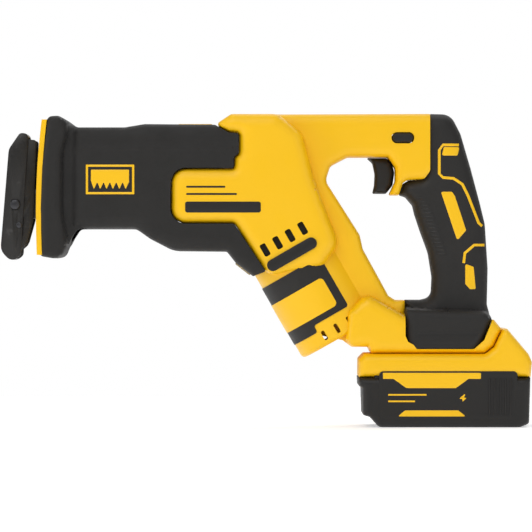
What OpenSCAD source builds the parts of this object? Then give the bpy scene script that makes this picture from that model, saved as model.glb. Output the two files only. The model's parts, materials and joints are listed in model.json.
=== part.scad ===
// Compact cordless reciprocating saw with a slide-on battery pack.
// X runs along the saw, with the blade end towards -X and the handle towards +X.
// Y runs across it, with the saw's left side at -Y, and Z is up from the foot of the pack.

/* [Body] */
// Half width of the gear housing at its widest
case_half_w = 36; // [35:0.5:38]
// Half width of the top beam and the front strut
beam_half_w = 21; // [20:0.5:23]
// Half width of the rear handle over its soft grip
grip_half_w = 18.5; // [18:0.5:20]
// Half width of the tool's foot over the battery
foot_half_w = 35.5; // [34:0.5:36]
// Wall of the moulded clamshell
wall = 2.8; // [2.4:0.1:3]
// Thickness of the soft grip over the handle core
skin = 2; // [1.5:0.1:2]

/* [Nose] */
// Half width of the flange at the front of the boot
flange_half_w = 38; // [37:0.5:39]
// Half width of the boot's neck
neck_half_w = 31.5; // [31:0.5:33]
// Thickness of the rubber boot
boot_wall = 3; // [2.5:0.1:3]
// Half width of the mouth that the blade clamp works in
mouth_half_w = 24; // [22:0.5:25]

/* [Drive] */
// Stroke of the blade
stroke = 28.6; // [24:0.1:28.6]
// Height of the plunger's axis above the pack's foot
plunger_z = 173.5; // [173:0.1:174]
// Distance of the crank's axis from the middle of the saw
crank_x = -10; // [-10.5:0.1:-9.5]
// Teeth on the crank gear
gear_teeth = 48; // [48:8:48]
// Teeth on the motor pinion
pinion_teeth = 8; // [8:8:8]
// Radius of the plunger's shaft
plunger_r = 8; // [7:0.5:8]
// Radius of the motor barrel outside
barrel_r = 32; // [32:0.5:33]
// Radius of the stator
stator_r = 26; // [24:0.5:26.5]

/* [Shoe] */
// Tilt of the shoe from upright at rest, top towards the boot
shoe_tilt = 5; // [3:1:6]
// Half width of the shoe
shoe_half_w = 19; // [18:0.5:20]
// Sheet thickness of the shoe
shoe_sheet = 2.2; // [2:0.1:2.5]

/* [Battery] */
// Half width of the battery pack
pack_half_w = 37.5; // [36.5:0.5:38]
// Radius of one cell
cell_r = 9.1; // [9:0.05:9.1]
// Length of one cell
cell_length = 65; // [64:0.5:65]

/* [Hidden] */
$fn = 48;

seam = 0.1;          // half gap between the two halves of the clamshell
fit = 0.15;          // gap between neighbouring mouldings
big = 400;           // longer than the saw
arc_step = 24;       // degrees of arc in one straight piece of an outline
crank_r = stroke / 2;
core_half_w = grip_half_w - skin;
motor_angle = 60;    // the motor's axis below the horizontal, towards the handle

yellow = [0.98, 0.76, 0.05];
black = [0.13, 0.13, 0.12];
steel = [0.62, 0.63, 0.65];
aluminium = [0.74, 0.75, 0.77];
bronze = [0.66, 0.5, 0.3];
copper = [0.72, 0.42, 0.22];

// Outlines seen from the saw's left, as [x, z, corner radius], anticlockwise.
gear_cover_outline = [
  [-65.5, 141.5, 10], [-21, 141.5, 3], [3, 102.5, 9], [42, 111, 6], [51, 128, 8],
  [33, 172, 14], [24, 203, 14], [10, 217.2, 8], [-24, 217.2, 4], [-34.8, 210, 2],
  [-25.6, 204.5, 3], [-18.5, 204, 2], [-18.5, 190.5, 2], [-21.9, 187, 1.5],
  [-21.9, 179.6, 1.5], [-65.5, 179.6, 10]];
beam_outline = [
  [-26, 196, 2], [0, 130, 2], [34, 66, 2], [53.5, 60.2, 1], [59.4, 55.7, 3], [97, 55.7, 1],
  [97, 88, 0], [90.3, 88, 3], [85.5, 91, 3], [67.6, 123.6, 4], [65.4, 133.5, 4],
  [41.6, 171, 7], [45, 181.5, 6], [57, 187.8, 5], [85, 187.8, 2], [90.5, 180, 5],
  [90.5, 171, 5], [86, 161.3, 1], [92.9, 161.3, 0.5], [95.6, 169.5, 2], [99, 171.6, 2],
  [110.5, 172.2, 4], [114.6, 178, 4], [114.6, 217.8, 0.5], [-15, 216.9, 4]];
grip_outline = [
  [97, 62, 3], [104.5, 54.6, 2], [144, 54.6, 3], [151, 60.5, 4], [157, 75.2, 2],
  [154.4, 85, 6], [155, 110, 30], [153, 141, 20], [149.5, 155.5, 30], [143, 180, 40],
  [136, 204, 14], [129, 217.6, 10], [114.8, 217.9, 0.5], [114.8, 177.8, 4], [110.4, 171.9, 4],
  [99.2, 171.3, 2], [95.9, 169.3, 2], [93.2, 161.2, 1], [97.5, 160, 4], [102.6, 154, 4],
  [104, 148, 10], [108, 136, 20], [113.5, 121, 20], [116.2, 104, 14], [115.5, 90, 6],
  [108, 88.2, 4], [97.15, 88.2, 0.5]];
handle_core_outline = [
  [99, 58, 2], [152, 58, 3], [155, 75.4, 2], [152.2, 85, 5], [152.8, 110, 25],
  [150.8, 141, 18], [147.3, 155.5, 28], [140.8, 180, 36], [134, 202.5, 12], [127.8, 215.4, 8],
  [108, 215.4, 1], [108, 200, 1], [98, 174, 1], [99.5, 162, 4], [104.6, 155, 4],
  [106, 148.5, 10], [110, 136.5, 20], [115.6, 121.4, 20], [118.4, 104, 14], [117.5, 88, 5],
  [99, 86, 1]];
foot_outline = [
  [73.3, 51.3, 1], [152, 51.3, 5], [158, 56.1, 3], [163.6, 68, 1.5], [157.3, 75.6, 2],
  [150, 84, 3], [62, 84, 4], [55.5, 61, 2], [59.4, 55.7, 3], [71, 55.7, 1.5]];
pack_upper_outline = [
  [183.6, 34.9, 0.5], [184.6, 45, 2], [182.2, 50.8, 3], [167.3, 68.4, 1], [164.2, 68, 1.5],
  [158.3, 55.7, 3], [152.2, 51, 5], [68.6, 51, 1.5], [64.7, 47, 2], [64.6, 34.9, 0.5]];
pack_lower_outline = [
  [64.3, 34.7, 0.5], [64.6, 28.8, 1], [66.9, 27.2, 1], [67.3, 8.6, 1.5], [72, 7.2, 1.5],
  [78.5, 0, 5], [176, 0, 4], [182.6, 2.6, 2.5], [183.4, 34.7, 0.5]];
// Flared foot of the grips, and the pocket the work light sits in.
grip_block_outline = [
  [97.15, 62, 3], [104.5, 54.6, 2], [144, 54.6, 3], [151, 60.5, 4], [157, 75.2, 2], [97.15, 80, 1]];
lens_pocket_outline = [
  [-21.7, 113.2, 0], [-11.2, 104.9, 0], [-3.8, 112.6, 0], [-9.2, 118.8, 0], [-16.6, 119.5, 0]];
trigger_outline = [
  [74.5, 162.3, 1], [84, 162.2, 2], [88.6, 168, 4], [89.9, 177, 6], [88, 184.5, 3],
  [84, 187.4, 1], [70.2, 187.4, 0.5], [74.6, 183.6, 4], [76.2, 176, 10], [75.8, 168, 6]];

function unit(v) = v / norm(v);
function short_turn(a) = a > 180 ? a - 360 : a < -180 ? a + 360 : a;

// The points of one corner, rounded to radius r.
function corner(a, b, c, r) = r <= 0 ? [b] :
  let (u = unit(a - b), v = unit(c - b), half = acos(u * v) / 2,
    centre = b + unit(u + v) * r / sin(half),
    t0 = b + u * r / tan(half) - centre, t1 = b + v * r / tan(half) - centre,
    a0 = atan2(t0.y, t0.x), sweep = short_turn(atan2(t1.y, t1.x) - a0),
    n = max(1, ceil(abs(sweep) / arc_step)))
  [for (i = [0 : n]) centre + r * [cos(a0 + sweep * i / n), sin(a0 + sweep * i / n)]];

function flat(p) = [p.x, p.y];

// An outline's points, with every corner rounded.
function rounded(outline) = let (n = len(outline))
  [for (i = [0 : n - 1]) each corner(flat(outline[(i + n - 1) % n]), flat(outline[i]),
    flat(outline[(i + 1) % n]), outline[i][2])];

function inward(a, b) = let (d = unit(b - a)) [-d.y, d.x];

// The same outline moved inwards by d, or outwards where d is negative, keeping its corners round.
function shrunk(outline, d) = let (n = len(outline))
  [for (i = [0 : n - 1]) let (a = flat(outline[(i + n - 1) % n]), b = flat(outline[i]),
    c = flat(outline[(i + 1) % n]), n1 = inward(a, b), n2 = inward(b, c),
    p = b + d * (n1 + n2) / (1 + n1 * n2), turn = n1.x * n2.y - n1.y * n2.x)
    [p.x, p.y, max(0, outline[i][2] - (turn > 0 ? d : -d))]];

// The left half of a moulding that is w wide from the middle, with its edge stepped in by e.
module half_moulding(outline, w, e) {
  prism(rounded(outline), e - w, -seam);
  prism(rounded(shrunk(outline, 0.4 * e)), -w, -seam);
}

// A whole moulding, stepped on both sides.
module moulding(outline, w, e) {
  prism(rounded(outline), e - w, w - e);
  prism(rounded(shrunk(outline, 0.4 * e)), -w, w);
}

// A straight prism of an outline in the XZ plane, from y0 up to y1.
module prism(points, y0, y1) {
  translate([0, y1, 0]) rotate([90, 0, 0]) linear_extrude(y1 - y0) polygon(points);
}

module box(low, high) {
  translate(low) cube(high - low);
}

module cyl_y(r, y0, y1) {
  translate([0, y1, 0]) rotate([90, 0, 0]) cylinder(h = y1 - y0, r = r);
}

module cyl_x(r, x0, x1) {
  translate([x0, 0, 0]) rotate([0, 90, 0]) cylinder(h = x1 - x0, r = r);
}

module tube(r_in, r_out, h) {
  difference() {
    cylinder(h = h, r = r_out);
    translate([0, 0, -1]) cylinder(h = h + 2, r = r_in);
  }
}

// Places children with +Z along the motor's axis, away from the crank, and +X towards the nose.
module on_motor_axis(t = 0) {
  translate([crank_x, 0, plunger_z]) rotate([0, 90 + motor_angle, 0]) translate([0, 0, t]) children();
}

module at_plunger(x = 0) {
  translate([x, 0, plunger_z]) children();
}

// Draws children on the left, or mirrored on the right.
module on_side(right) {
  if (right) mirror([0, 1, 0]) children();
  else children();
}

module both_sides() {
  children();
  mirror([0, 1, 0]) children();
}

/* Clamshell */

gear_cover_cavity = [[-62, 144.5], [-19, 144.5], [5, 106], [39.5, 113.5], [47.5, 128], [30, 171],
  [21.5, 201.5], [8, 214.2], [-22, 214.2], [-28, 208.5], [-15.5, 207.5], [-15.5, 177], [-62, 177]];
beam_cavity = [[-10, 194], [3, 130], [36, 69.5], [55, 63], [61, 59.5], [94, 59.5], [94, 84], [88, 84],
  [82, 90], [64.2, 122.5], [62.2, 132.2], [38.2, 170.4], [42, 184], [56, 190.8], [111.8, 190.8],
  [111.8, 214.4], [-10, 214.4]];
handle_cavity = [[102, 69.6], [151, 69.6], [149.4, 85], [150, 110], [148, 141], [144.4, 155.5],
  [137.8, 180], [131, 202], [126, 212.6], [111, 212.6], [111, 200], [101.6, 176], [102.4, 164],
  [107.4, 156.5], [109, 148.5], [113, 137], [118.6, 122], [121.4, 104], [120.4, 86], [102, 82]];
foot_cavity = [[64, 69.6], [157.5, 69.6], [154.5, 73.5], [148.5, 81], [64, 81]];

cavity_barrel_r = 28.2;
barrel_end_t = 127.5;
stator_rib_t = [64, 90];
upper_vent_t = 48.8;
lower_vent_t = 120.5;

module upper_vents() {
  on_motor_axis(upper_vent_t) for (s = [-17, -7, 3, 13])
    box([-s - 2.2, -60, -3], [-s + 2.2, 60, 3]);
}

module lower_vents() {
  on_motor_axis(lower_vent_t) for (s = [-11, -1, 9, 19])
    box([-s - 1.3, -60, -3.5], [-s + 1.3, 60, 3.5]);
}

module rail_channel() {
  box([79, -20.6, 50], [175, 20.6, 56]);
  box([79, -24, 54.5], [175, 24, 66.5]);
}

module lock_off_profile(gap) {
  translate([95.4, 0, 201]) rotate([90, 0, 0]) linear_extrude(big, center = true) {
    translate([-4.1, 0]) circle(r = 3.5 + gap);
    translate([4.1, 0]) circle(r = 3.5 + gap);
    square([8.2, 7 + 2 * gap], center = true);
  }
}

// Where the soft motor band lies, in the motor's own coordinates.
module band_zone(gap) {
  on_motor_axis() {
    box([-13.5 - gap, -60, 71 - gap], [60, 60, 111 + gap]);
    box([14 - gap, -60, 110], [60, 60, 116 + gap]);
  }
}

module panel_zone(gap) {
  on_motor_axis() box([-7.5 - gap, -60, 84.5 - gap], [60, 60, 106.5 + gap]);
}

band_floor_r = barrel_r - 1.7;

module band_ring() {
  on_motor_axis(60) tube(band_floor_r + 0.05, barrel_r, 60);
}

module shell_solids() {
  half_moulding(gear_cover_outline, case_half_w, 6);
  half_moulding(beam_outline, beam_half_w, 4);
  half_moulding(handle_core_outline, core_half_w, 4);
  half_moulding(foot_outline, foot_half_w, 4);
  difference() {
    on_motor_axis(40) cylinder(h = barrel_end_t - 40, r = barrel_r);
    box([-200, -seam, -50], [300, 100, 300]);
  }
}

module shell_cavities() {
  prism(gear_cover_cavity, wall - case_half_w, 1);
  box([-70, wall - case_half_w, 142], [-14, 1, 208]);
  prism(beam_cavity, wall - beam_half_w, 1);
  prism(handle_cavity, wall - core_half_w, 1);
  prism(foot_cavity, wall - foot_half_w, 1);
  on_motor_axis(10) cylinder(h = barrel_end_t - 13, r = cavity_barrel_r);
}

// One half of the clamshell: shells, walls and the pockets that its neighbours sit in.
module shell(right) {
  color(yellow) on_side(right) difference() {
    shell_solids();
    shell_cavities();
    intersection() {
      on_motor_axis(60) tube(band_floor_r, barrel_r + 3, 60);
      band_zone(fit);
    }
    rail_channel();
    upper_vents();
    lower_vents();
    prism(rounded(lens_pocket_outline), -16.3, 16.3);
    lock_off_profile(0.3);
    box([80, -9.8, 162], [104, 9.8, 188.2]);
    prism(rounded(shrunk(grip_outline, -fit)), -foot_half_w - 1, -core_half_w - 0.1);
  }
  color(yellow) on_side(right) difference() {
    for (t = stator_rib_t) on_motor_axis(t) tube(stator_r + 0.02, cavity_barrel_r + 0.5, 3);
    box([-200, -seam, -50], [300, 100, 300]);
  }
}

/* Soft grip over the rear handle */

grip_block_half_w = 33.5;
module grip(right) {
  color(black) on_side(right) difference() {
    union() {
      half_moulding(grip_outline, grip_half_w, 3);
      half_moulding(grip_block_outline, grip_block_half_w, 3);
    }
    rail_channel();
    prism(rounded(shrunk(handle_core_outline, -fit)), -core_half_w - 0.15, 1);
    prism(rounded(shrunk(beam_outline, -fit)), -60, 1);
    prism(rounded(shrunk(foot_outline, -fit)), -core_half_w - 0.15, 1);
  }
}

module motor_band(right) {
  color(black) on_side(right) difference() {
    intersection() {
      band_ring();
      band_zone(0);
      box([-200, -100, -50], [300, -seam, 300]);
    }
    panel_zone(fit);
    prism(rounded(shrunk(gear_cover_outline, -fit)), -60, 1);
    prism(rounded(shrunk(beam_outline, -fit)), -beam_half_w - fit, 1);
    prism(rounded(shrunk(foot_outline, -fit)), -60, 1);
  }
}

module motor_panel(right) {
  color(yellow) on_side(right) difference() {
    intersection() {
      band_ring();
      panel_zone(0);
      box([-200, -100, -50], [300, -seam, 300]);
    }
    prism(rounded(shrunk(beam_outline, -fit)), -beam_half_w - fit, 1);
  }
}

/* Nose */

mouth_low = 138;
mouth_high = 201;

module mouth(x0, x1) {
  translate([x0, 0, 0]) rotate([90, 0, 90]) linear_extrude(x1 - x0)
    translate([0, (mouth_low + mouth_high) / 2]) {
      square([2 * mouth_half_w - 16, mouth_high - mouth_low], center = true);
      square([2 * mouth_half_w, mouth_high - mouth_low - 16], center = true);
      for (y = [-1, 1], z = [-1, 1])
        translate([y * (mouth_half_w - 8), z * ((mouth_high - mouth_low) / 2 - 8)]) circle(r = 8);
    }
}

flange_outline = [
  [-156, 118.6, 2], [-147.5, 117.1, 5], [-141, 118, 6], [-134.5, 131.3, 10], [-131.5, 140, 2],
  [-131.5, 205, 2], [-137, 212.5, 5], [-143.5, 216, 5], [-150, 215.6, 4], [-152, 212.5, 2],
  [-153.2, 203, 10], [-155.8, 180, 30], [-156.8, 152, 30], [-156, 131, 20]];
neck_outline = [
  [-140, 137.6, 2], [-90, 137.6, 8], [-82, 132, 6], [-60, 132, 2], [-60, 210, 2],
  [-84, 210.3, 8], [-98, 208, 8], [-140, 208, 2]];
case_outline = [
  [-88, 137, 6], [-80, 130.5, 14], [-64, 122.2, 16], [-27, 121.8, 3], [-21.2, 114.4, 2],
  [-8.8, 104.6, 1], [0.4, 108.6, 1], [-8, 125, 1], [-8, 200, 1], [-30, 210, 1],
  [-84, 210.3, 5]];

flange_cavity = [[-152.5, 122], [-144, 121.5], [-137, 133], [-135, 141], [-135, 204], [-145, 212.8],
  [-149, 212.5], [-152.8, 180], [-153.6, 152]];
neck_cavity = [[-139, 140.6], [-88, 140.6], [-80, 135], [-62, 135], [-62, 207], [-84, 207.2], [-98, 205],
  [-139, 205]];
case_cavity = [[-84, 140], [-76, 131], [-62, 125.4], [-26, 125], [-20, 117.6], [-9, 108.5], [-4.5, 110.6],
  [-11, 125], [-11, 199], [-31, 207], [-84, 207.2]];

module nose_boot() {
  color(black) difference() {
    union() {
      moulding(flange_outline, flange_half_w, 5);
      moulding(neck_outline, neck_half_w, 6);
      moulding(case_outline, case_half_w - 0.5, 5);
    }
    prism(flange_cavity, boot_wall - flange_half_w, flange_half_w - boot_wall);
    prism(neck_cavity, boot_wall - neck_half_w, neck_half_w - boot_wall);
    prism(case_cavity, boot_wall + 0.5 - case_half_w, case_half_w - 0.5 - boot_wall);
    box([-141, 6 - neck_half_w, 144], [-78, neck_half_w - 6, 201]);
    mouth(-170, -140);
    prism(rounded(shrunk(gear_cover_outline, -fit)), -60, 60);
    prism(rounded(shrunk(beam_outline, -fit)), -60, 60);
    on_motor_axis(40) cylinder(h = 80, r = barrel_r + 0.2);
    lens_block(0.2);
  }
}

// The front edge of the boot, bowed forward in the middle.
rim_back = [for (z = [119.5 : 6.25 : 213.25]) [-156.95 + 0.00125 * pow(z - 148, 2) * (z > 148 ? 0.75 : 0.6), z]];
rim_t = 2;

module nose_rim() {
  n = len(rim_back);
  strip = concat([for (i = [n - 1 : -1 : 0]) rim_back[i] - [0.2, 0]],
    [for (i = [0 : n - 1]) rim_back[i] - [rim_t, 0]]);
  color(yellow) difference() {
    prism([for (i = [len(strip) - 1 : -1 : 0]) strip[i]], 1.5 - flange_half_w, flange_half_w - 1.5);
    mouth(-170, -140);
    prism(rounded(shrunk(flange_outline, -0.05)), -60, 60);
  }
}

/* Gear case */

pocket_half_x = 28;
pocket_half_z = 26.8;
case_floor_y = -20;
cover_y = 28;
boss_t = 30;
case_nose_x = -108;

module rounded_rect_xz(half_x, half_z, r, y0, y1) {
  prism(rounded([[-half_x, -half_z, r], [half_x, -half_z, r], [half_x, half_z, r], [-half_x, half_z, r]]),
    y0, y1);
}

module gear_case() {
  color(aluminium) difference() {
    union() {
      at_plunger(crank_x) {
        rounded_rect_xz(pocket_half_x + 3, pocket_half_z + 3, 15.5, case_floor_y, cover_y);
        cyl_y(31.5, case_floor_y, cover_y);
      }
      at_plunger() cyl_x(22, -82, -34);
      at_plunger() cyl_x(16.5, case_nose_x, -77);
      on_motor_axis(boss_t) cylinder(h = 12, r = 13);
      for (p = cover_screw_places) translate([p.x, 0, p.y]) cyl_y(4, 12, cover_y);
    }
    at_plunger(crank_x) {
      rounded_rect_xz(pocket_half_x, pocket_half_z, 12.5, case_floor_y + 3, cover_y + 1);
      cyl_y(28.5, case_floor_y + 3, cover_y + 1);
    }
    at_plunger() cyl_x(18.8, -78.4, -30);
    at_plunger() cyl_x(12, case_nose_x - 1, -77);
    on_motor_axis(25) cylinder(h = 30, r = 6);
    on_motor_axis(36) cylinder(h = 12, r = 9.5);
    for (p = cover_screw_places) translate([p.x, 0, p.y]) cyl_y(1.6, 10, cover_y + 1);
  }
}

cover_screw_places = [for (a = [20, 160, 200, 340])
  [crank_x + 33.2 * cos(a), plunger_z + 33.2 * sin(a)]];
bearing_y = [15, 22];

module gear_case_cover() {
  color(aluminium) difference() {
    union() {
      at_plunger(crank_x) {
        rounded_rect_xz(pocket_half_x + 3, pocket_half_z + 3, 15.5, cover_y, cover_y + 3);
        cyl_y(31.5, cover_y, cover_y + 3);
        cyl_y(14.2, 14.2, cover_y + 1);
      }
      for (p = cover_screw_places) translate([p.x, 0, p.y]) cyl_y(4, cover_y, cover_y + 3);
    }
    at_plunger(crank_x) cyl_y(11, 14, cover_y + 0.6);
    for (p = cover_screw_places) translate([p.x, 0, p.y]) cyl_y(1.8, cover_y - 1, cover_y + 4);
  }
}

module gear_case_screws() {
  color(steel) for (p = cover_screw_places) translate([p.x, 0, p.y]) {
    cyl_y(1.5, cover_y - 10, cover_y + 3.1);
    difference() {
      cyl_y(3, cover_y + 3.05, cover_y + 3.9);
      translate([0, cover_y + 4.4, 0]) rotate([90, 0, 0]) cylinder(h = 1, r = 1.4, $fn = 6);
    }
  }
}

module bushing(x0, x1) {
  color(bronze) at_plunger(x0) rotate([0, 90, 0]) tube(plunger_r + 0.05, 11.98, x1 - x0);
}

module plunger_seal() {
  color(black) at_plunger(case_nose_x) rotate([0, 90, 0]) tube(plunger_r + 0.15, 11.9, 3.8);
}

module crank_bearings() {
  color(steel) at_plunger(crank_x) for (y = bearing_y)
    translate([0, y + 6, 0]) rotate([90, 0, 0]) tube(5.02, 10.98, 6);
}

/* Shoe post: a channel of bent steel that carries the shoe */

post_low = 145;
post_high = 165;
pivot = [-174.4, 154.6];

module shoe_post() {
  color(black) difference() {
    union() {
      prism(rounded([[-178, post_low, 4], [-82, post_low, 2], [-82, post_high, 2], [-178, post_high, 6]]),
        -15, 15);
    }
    box([-190, -12, post_low + 2.4], [-80, 12, post_high + 1]);
    box([-190, -12, post_low - 1], [-168, 12, post_high + 1]);
    at_plunger() cyl_x(16.8, case_nose_x - 0.5, -60);
    at_plunger() cyl_x(22.3, -82.5, -60);
    translate([pivot.x, 0, pivot.y]) cyl_y(2.55, -20, 20);
  }
}

/* Motor */

front_bearing_t = 36.5;
rear_bearing_t = 108;
stator_t = 61;
stator_length = 36;
stator_teeth = 6;
stator_bore_r = 14.5;

module motor_front_bearing() {
  color(steel) on_motor_axis(front_bearing_t) tube(4.02, 9.48, 7);
}

module motor_rear_bearing() {
  color(steel) on_motor_axis(rear_bearing_t) tube(4.02, 8, 6);
}

module motor_end_plate() {
  color(black) on_motor_axis(105) difference() {
    cylinder(h = 10, r = cavity_barrel_r - 0.2);
    translate([0, 0, -1]) cylinder(h = 5, r = 23);
    translate([0, 0, 3]) cylinder(h = 8, r = 8.05);
    translate([0, 0, -1]) cylinder(h = 12, r = 6);
    for (k = [0 : 5]) rotate([0, 0, 60 * k + 30]) translate([17, 0, -1]) cylinder(h = 12, r = 4);
    for (k = [0 : 5]) rotate([0, 0, 60 * k]) box([cavity_barrel_r - 4, -3, -1], [40, 3, 11]);
  }
}

module stator_core() {
  color(steel) on_motor_axis(stator_t) difference() {
    cylinder(h = stator_length, r = stator_r);
    translate([0, 0, -1]) cylinder(h = stator_length + 2, r = stator_bore_r);
    for (k = [0 : stator_teeth - 1]) rotate([0, 0, 360 / stator_teeth * (k + 0.5)])
      translate([0, 0, -1]) linear_extrude(stator_length + 2) polygon([
        [stator_bore_r - 1, -1.2], [16.5, -1.2], [16.5, -6], [22.6, -8.6], [22.6, 8.6], [16.5, 6],
        [16.5, 1.2], [stator_bore_r - 1, 1.2]]);
  }
}

module stator_windings() {
  color(copper) on_motor_axis(stator_t - 4) for (k = [0 : stator_teeth - 1])
    rotate([0, 0, 360 / stator_teeth * k]) difference() {
      box([17, -7.4, 0], [21.4, 7.4, stator_length + 8]);
      box([16, -4.7, 3.9], [23, 4.7, stator_length + 4.1]);
      for (m = [-1, 1]) rotate([0, 0, 30 * m]) box([0, m > 0 ? -1.3 : -30, -1], [60, m > 0 ? 30 : 1.3, 60]);
    }
}

module rotor_core() {
  color(steel) on_motor_axis(stator_t + 1) tube(4.02, 13.9, stator_length - 2);
}

module motor_shaft() {
  color(steel) on_motor_axis(29) cylinder(h = 87, r = 3.98);
}

// The pinion meshes with radial teeth on the side of the crank gear.
tooth_in_r = 20;
tooth_out_r = 26;
pinion_pitch_r = (tooth_in_r + tooth_out_r) / 2 * pinion_teeth / gear_teeth;
tooth_w = 0.7;
addendum = 0.9;
dedendum = 1.2;

module motor_pinion() {
  color(steel) on_motor_axis() difference() {
    union() {
      translate([0, 0, tooth_in_r]) cylinder(h = 9, r = pinion_pitch_r - dedendum);
      translate([0, 0, tooth_out_r + 0.4]) cylinder(h = 5, r = 5.2);
      for (i = [0 : pinion_teeth - 1]) rotate([0, 0, 360 / pinion_teeth * i])
        box([1, -tooth_w / 2, tooth_in_r], [pinion_pitch_r + addendum, tooth_w / 2, tooth_out_r]);
    }
    translate([0, 0, 28.9]) cylinder(h = 10, r = 3.98);
  }
}

module crank_gear() {
  root = pinion_pitch_r + dedendum;
  color(steel) at_plunger(crank_x) rotate([-90, 0, 0]) {
    rotate_extrude() polygon([[5, 6.9], [tooth_in_r - 1.5, 6.9], [tooth_in_r - 1.5, root],
      [tooth_out_r + 0.2, root], [tooth_out_r + 0.2, 12.8], [5, 12.8]]);
    rotate([0, 0, motor_angle]) for (i = [0 : gear_teeth - 1])
      rotate([0, 0, 360 / gear_teeth * (i + 0.5)])
        box([tooth_in_r, -tooth_w / 2, pinion_pitch_r - addendum],
          [tooth_out_r, tooth_w / 2, root + 0.2]);
    translate([0, -crank_r, -6.6]) cylinder(h = 14, r = 3.5);
  }
}

module crank_shaft() {
  color(steel) at_plunger(crank_x) cyl_y(4.98, 12.85, cover_y + 0.3);
}

module crank_counterweight() {
  color(steel) at_plunger(crank_x) rotate([90, 0, 0]) translate([0, 0, -6.88])
    linear_extrude(6.4) difference() {
      intersection() {
        circle(r = 17.3);
        polygon([[0, 2], [-30, -10], [-30, -30], [30, -30], [30, -10]]);
      }
      circle(r = 6);
    }
}

/* Plunger and scotch yoke */

yoke_y = [-15, -7];
roller_r = 7;

module yoke_outline(r) {
  translate([0, crank_r]) circle(r = r);
  translate([0, -crank_r]) circle(r = r);
  square([2 * r, 2 * crank_r], center = true);
}

module plunger() {
  color(steel) difference() {
    union() {
      at_plunger() cyl_x(plunger_r, -130, -56);
      at_plunger(crank_x) translate([0, yoke_y[1], 0]) rotate([90, 0, 0])
        linear_extrude(yoke_y[1] - yoke_y[0]) {
          yoke_outline(11);
          translate([-26, 0]) square([40, 15], center = true);
        }
      at_plunger() box([-62, yoke_y[0], -7.5], [-53, 4, 7.5]);
    }
    at_plunger(crank_x) translate([0, yoke_y[1] + 1, 0]) rotate([90, 0, 0])
      linear_extrude(12) yoke_outline(roller_r + 0.15);
  }
}

module crank_roller() {
  color(steel) at_plunger(crank_x) translate([0, 0, crank_r]) cyl_y(roller_r, yoke_y[0], yoke_y[1]);
}

clamp_x = [-146, -124];

module blade_clamp() {
  color(steel) difference() {
    at_plunger() cyl_x(9.4, clamp_x[0], clamp_x[1]);
    at_plunger() box([-150, -0.85, -6.5], [-132, 0.85, 6.5]);
    at_plunger() box([-150, -6.5, -0.85], [-132, 6.5, 0.85]);
    at_plunger() cyl_x(plunger_r, -130, -120);
    at_plunger(-138) rotate([0, 0, 0]) cylinder(h = 12, r = 1.75);
  }
}

module clamp_pin() {
  color(steel) at_plunger(-138) translate([0, 0, 2.2]) cylinder(h = 7, r = 1.7);
}

module clamp_collar() {
  color(black) difference() {
    union() {
      at_plunger(-144) rotate([0, 90, 0]) tube(9.5, 12, 15);
      for (a = [0 : 45 : 315]) at_plunger(-143) rotate([a, 0, 0])
        box([0, -1.3, 11.2], [13, 1.3, 12.8]);
    }
    at_plunger() cyl_x(9.5, -150, -120);
  }
}

/* Shoe */

module in_shoe_frame() {
  translate([pivot.x, 0, pivot.y]) rotate([0, shoe_tilt, 0]) children();
}

shoe_side = [
  [-7.4, -33, 9], [1, -40, 5], [7, -35, 4], [5, 40, 3], [5, 50, 3], [-1, 50, 3], [-7.8, 38, 8]];
shoe_cavity = [[-5.2, -32], [1.2, -37.4], [40, -37.4], [40, 47.4], [0, 47.4], [-5.5, 37]];
bracket_side = [
  [-3.5, -30, 3], [2, -34, 3], [10, -28, 8], [13.4, -10, 3], [12.6, 10, 2], [10.8, 46, 2], [1, 46, 3],
  [-3.5, 38, 3]];
rivet = [4, -14];

module shoe() {
  color(black) in_shoe_frame() difference() {
    prism(rounded(shoe_side), -shoe_half_w, shoe_half_w);
    prism(shoe_cavity, shoe_sheet - shoe_half_w, shoe_half_w - shoe_sheet);
    box([-20, -5, -12], [-1, 5, 32]);
    cyl_y(2.55, -30, 30);
    translate([rivet.x, 0, rivet.y]) cyl_y(1.3, -30, 30);
  }
}

module shoe_bracket() {
  outer = shoe_half_w - shoe_sheet - 0.1;
  color(black) in_shoe_frame() both_sides() difference() {
    prism(rounded(bracket_side), -outer, -outer + 1.6);
    cyl_y(2.55, -30, 30);
    translate([rivet.x, 0, rivet.y]) cyl_y(1.3, -30, 30);
  }
}

module shoe_rivets() {
  color(steel) in_shoe_frame() {
    cyl_y(2.5, -shoe_half_w - 1.4, shoe_half_w + 1.4);
    both_sides() cyl_y(3.3, -shoe_half_w - 1.4, -shoe_half_w - 0.05);
    both_sides() translate([rivet.x, 0, rivet.y]) {
      cyl_y(1.25, -shoe_half_w - 0.7, -shoe_half_w + 3.95);
      cyl_y(2, -shoe_half_w - 0.7, -shoe_half_w - 0.05);
    }
  }
}

/* Controls */

module trigger() {
  color(black) {
    moulding(trigger_outline, 9.2, 2);
    box([85, -6.5, 172.5], [97, 6.5, 183]);
  }
}

module trigger_spring() {
  turns = 4;
  steps = 12 * turns;
  span = 8.6;
  coil_r = 3.6;
  wire_r = 0.5;
  ring = [for (i = [0 : 5]) [cos(60 * i), sin(60 * i)] * wire_r];
  function at(i) = [97.7 + span * i / steps, coil_r * cos(30 * i), 175.5 + coil_r * sin(30 * i)];
  color(steel) polyhedron(
    points = [for (i = [0 : steps]) for (p = ring) at(i) + [p.y, p.x * cos(30 * i), p.x * sin(30 * i)]],
    faces = [[for (j = [0 : 5]) j], [for (j = [5 : -1 : 0]) steps * 6 + j],
      for (i = [0 : steps - 1]) for (j = [0 : 5]) let (m = (j + 1) % 6)
        [i * 6 + j, (i + 1) * 6 + j, (i + 1) * 6 + m, i * 6 + m]]);
}

module lock_off_button() {
  color(black) intersection() {
    lock_off_profile(0);
    box([80, -beam_half_w - 1.5, 190], [110, beam_half_w + 4.5, 210]);
  }
}

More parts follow.
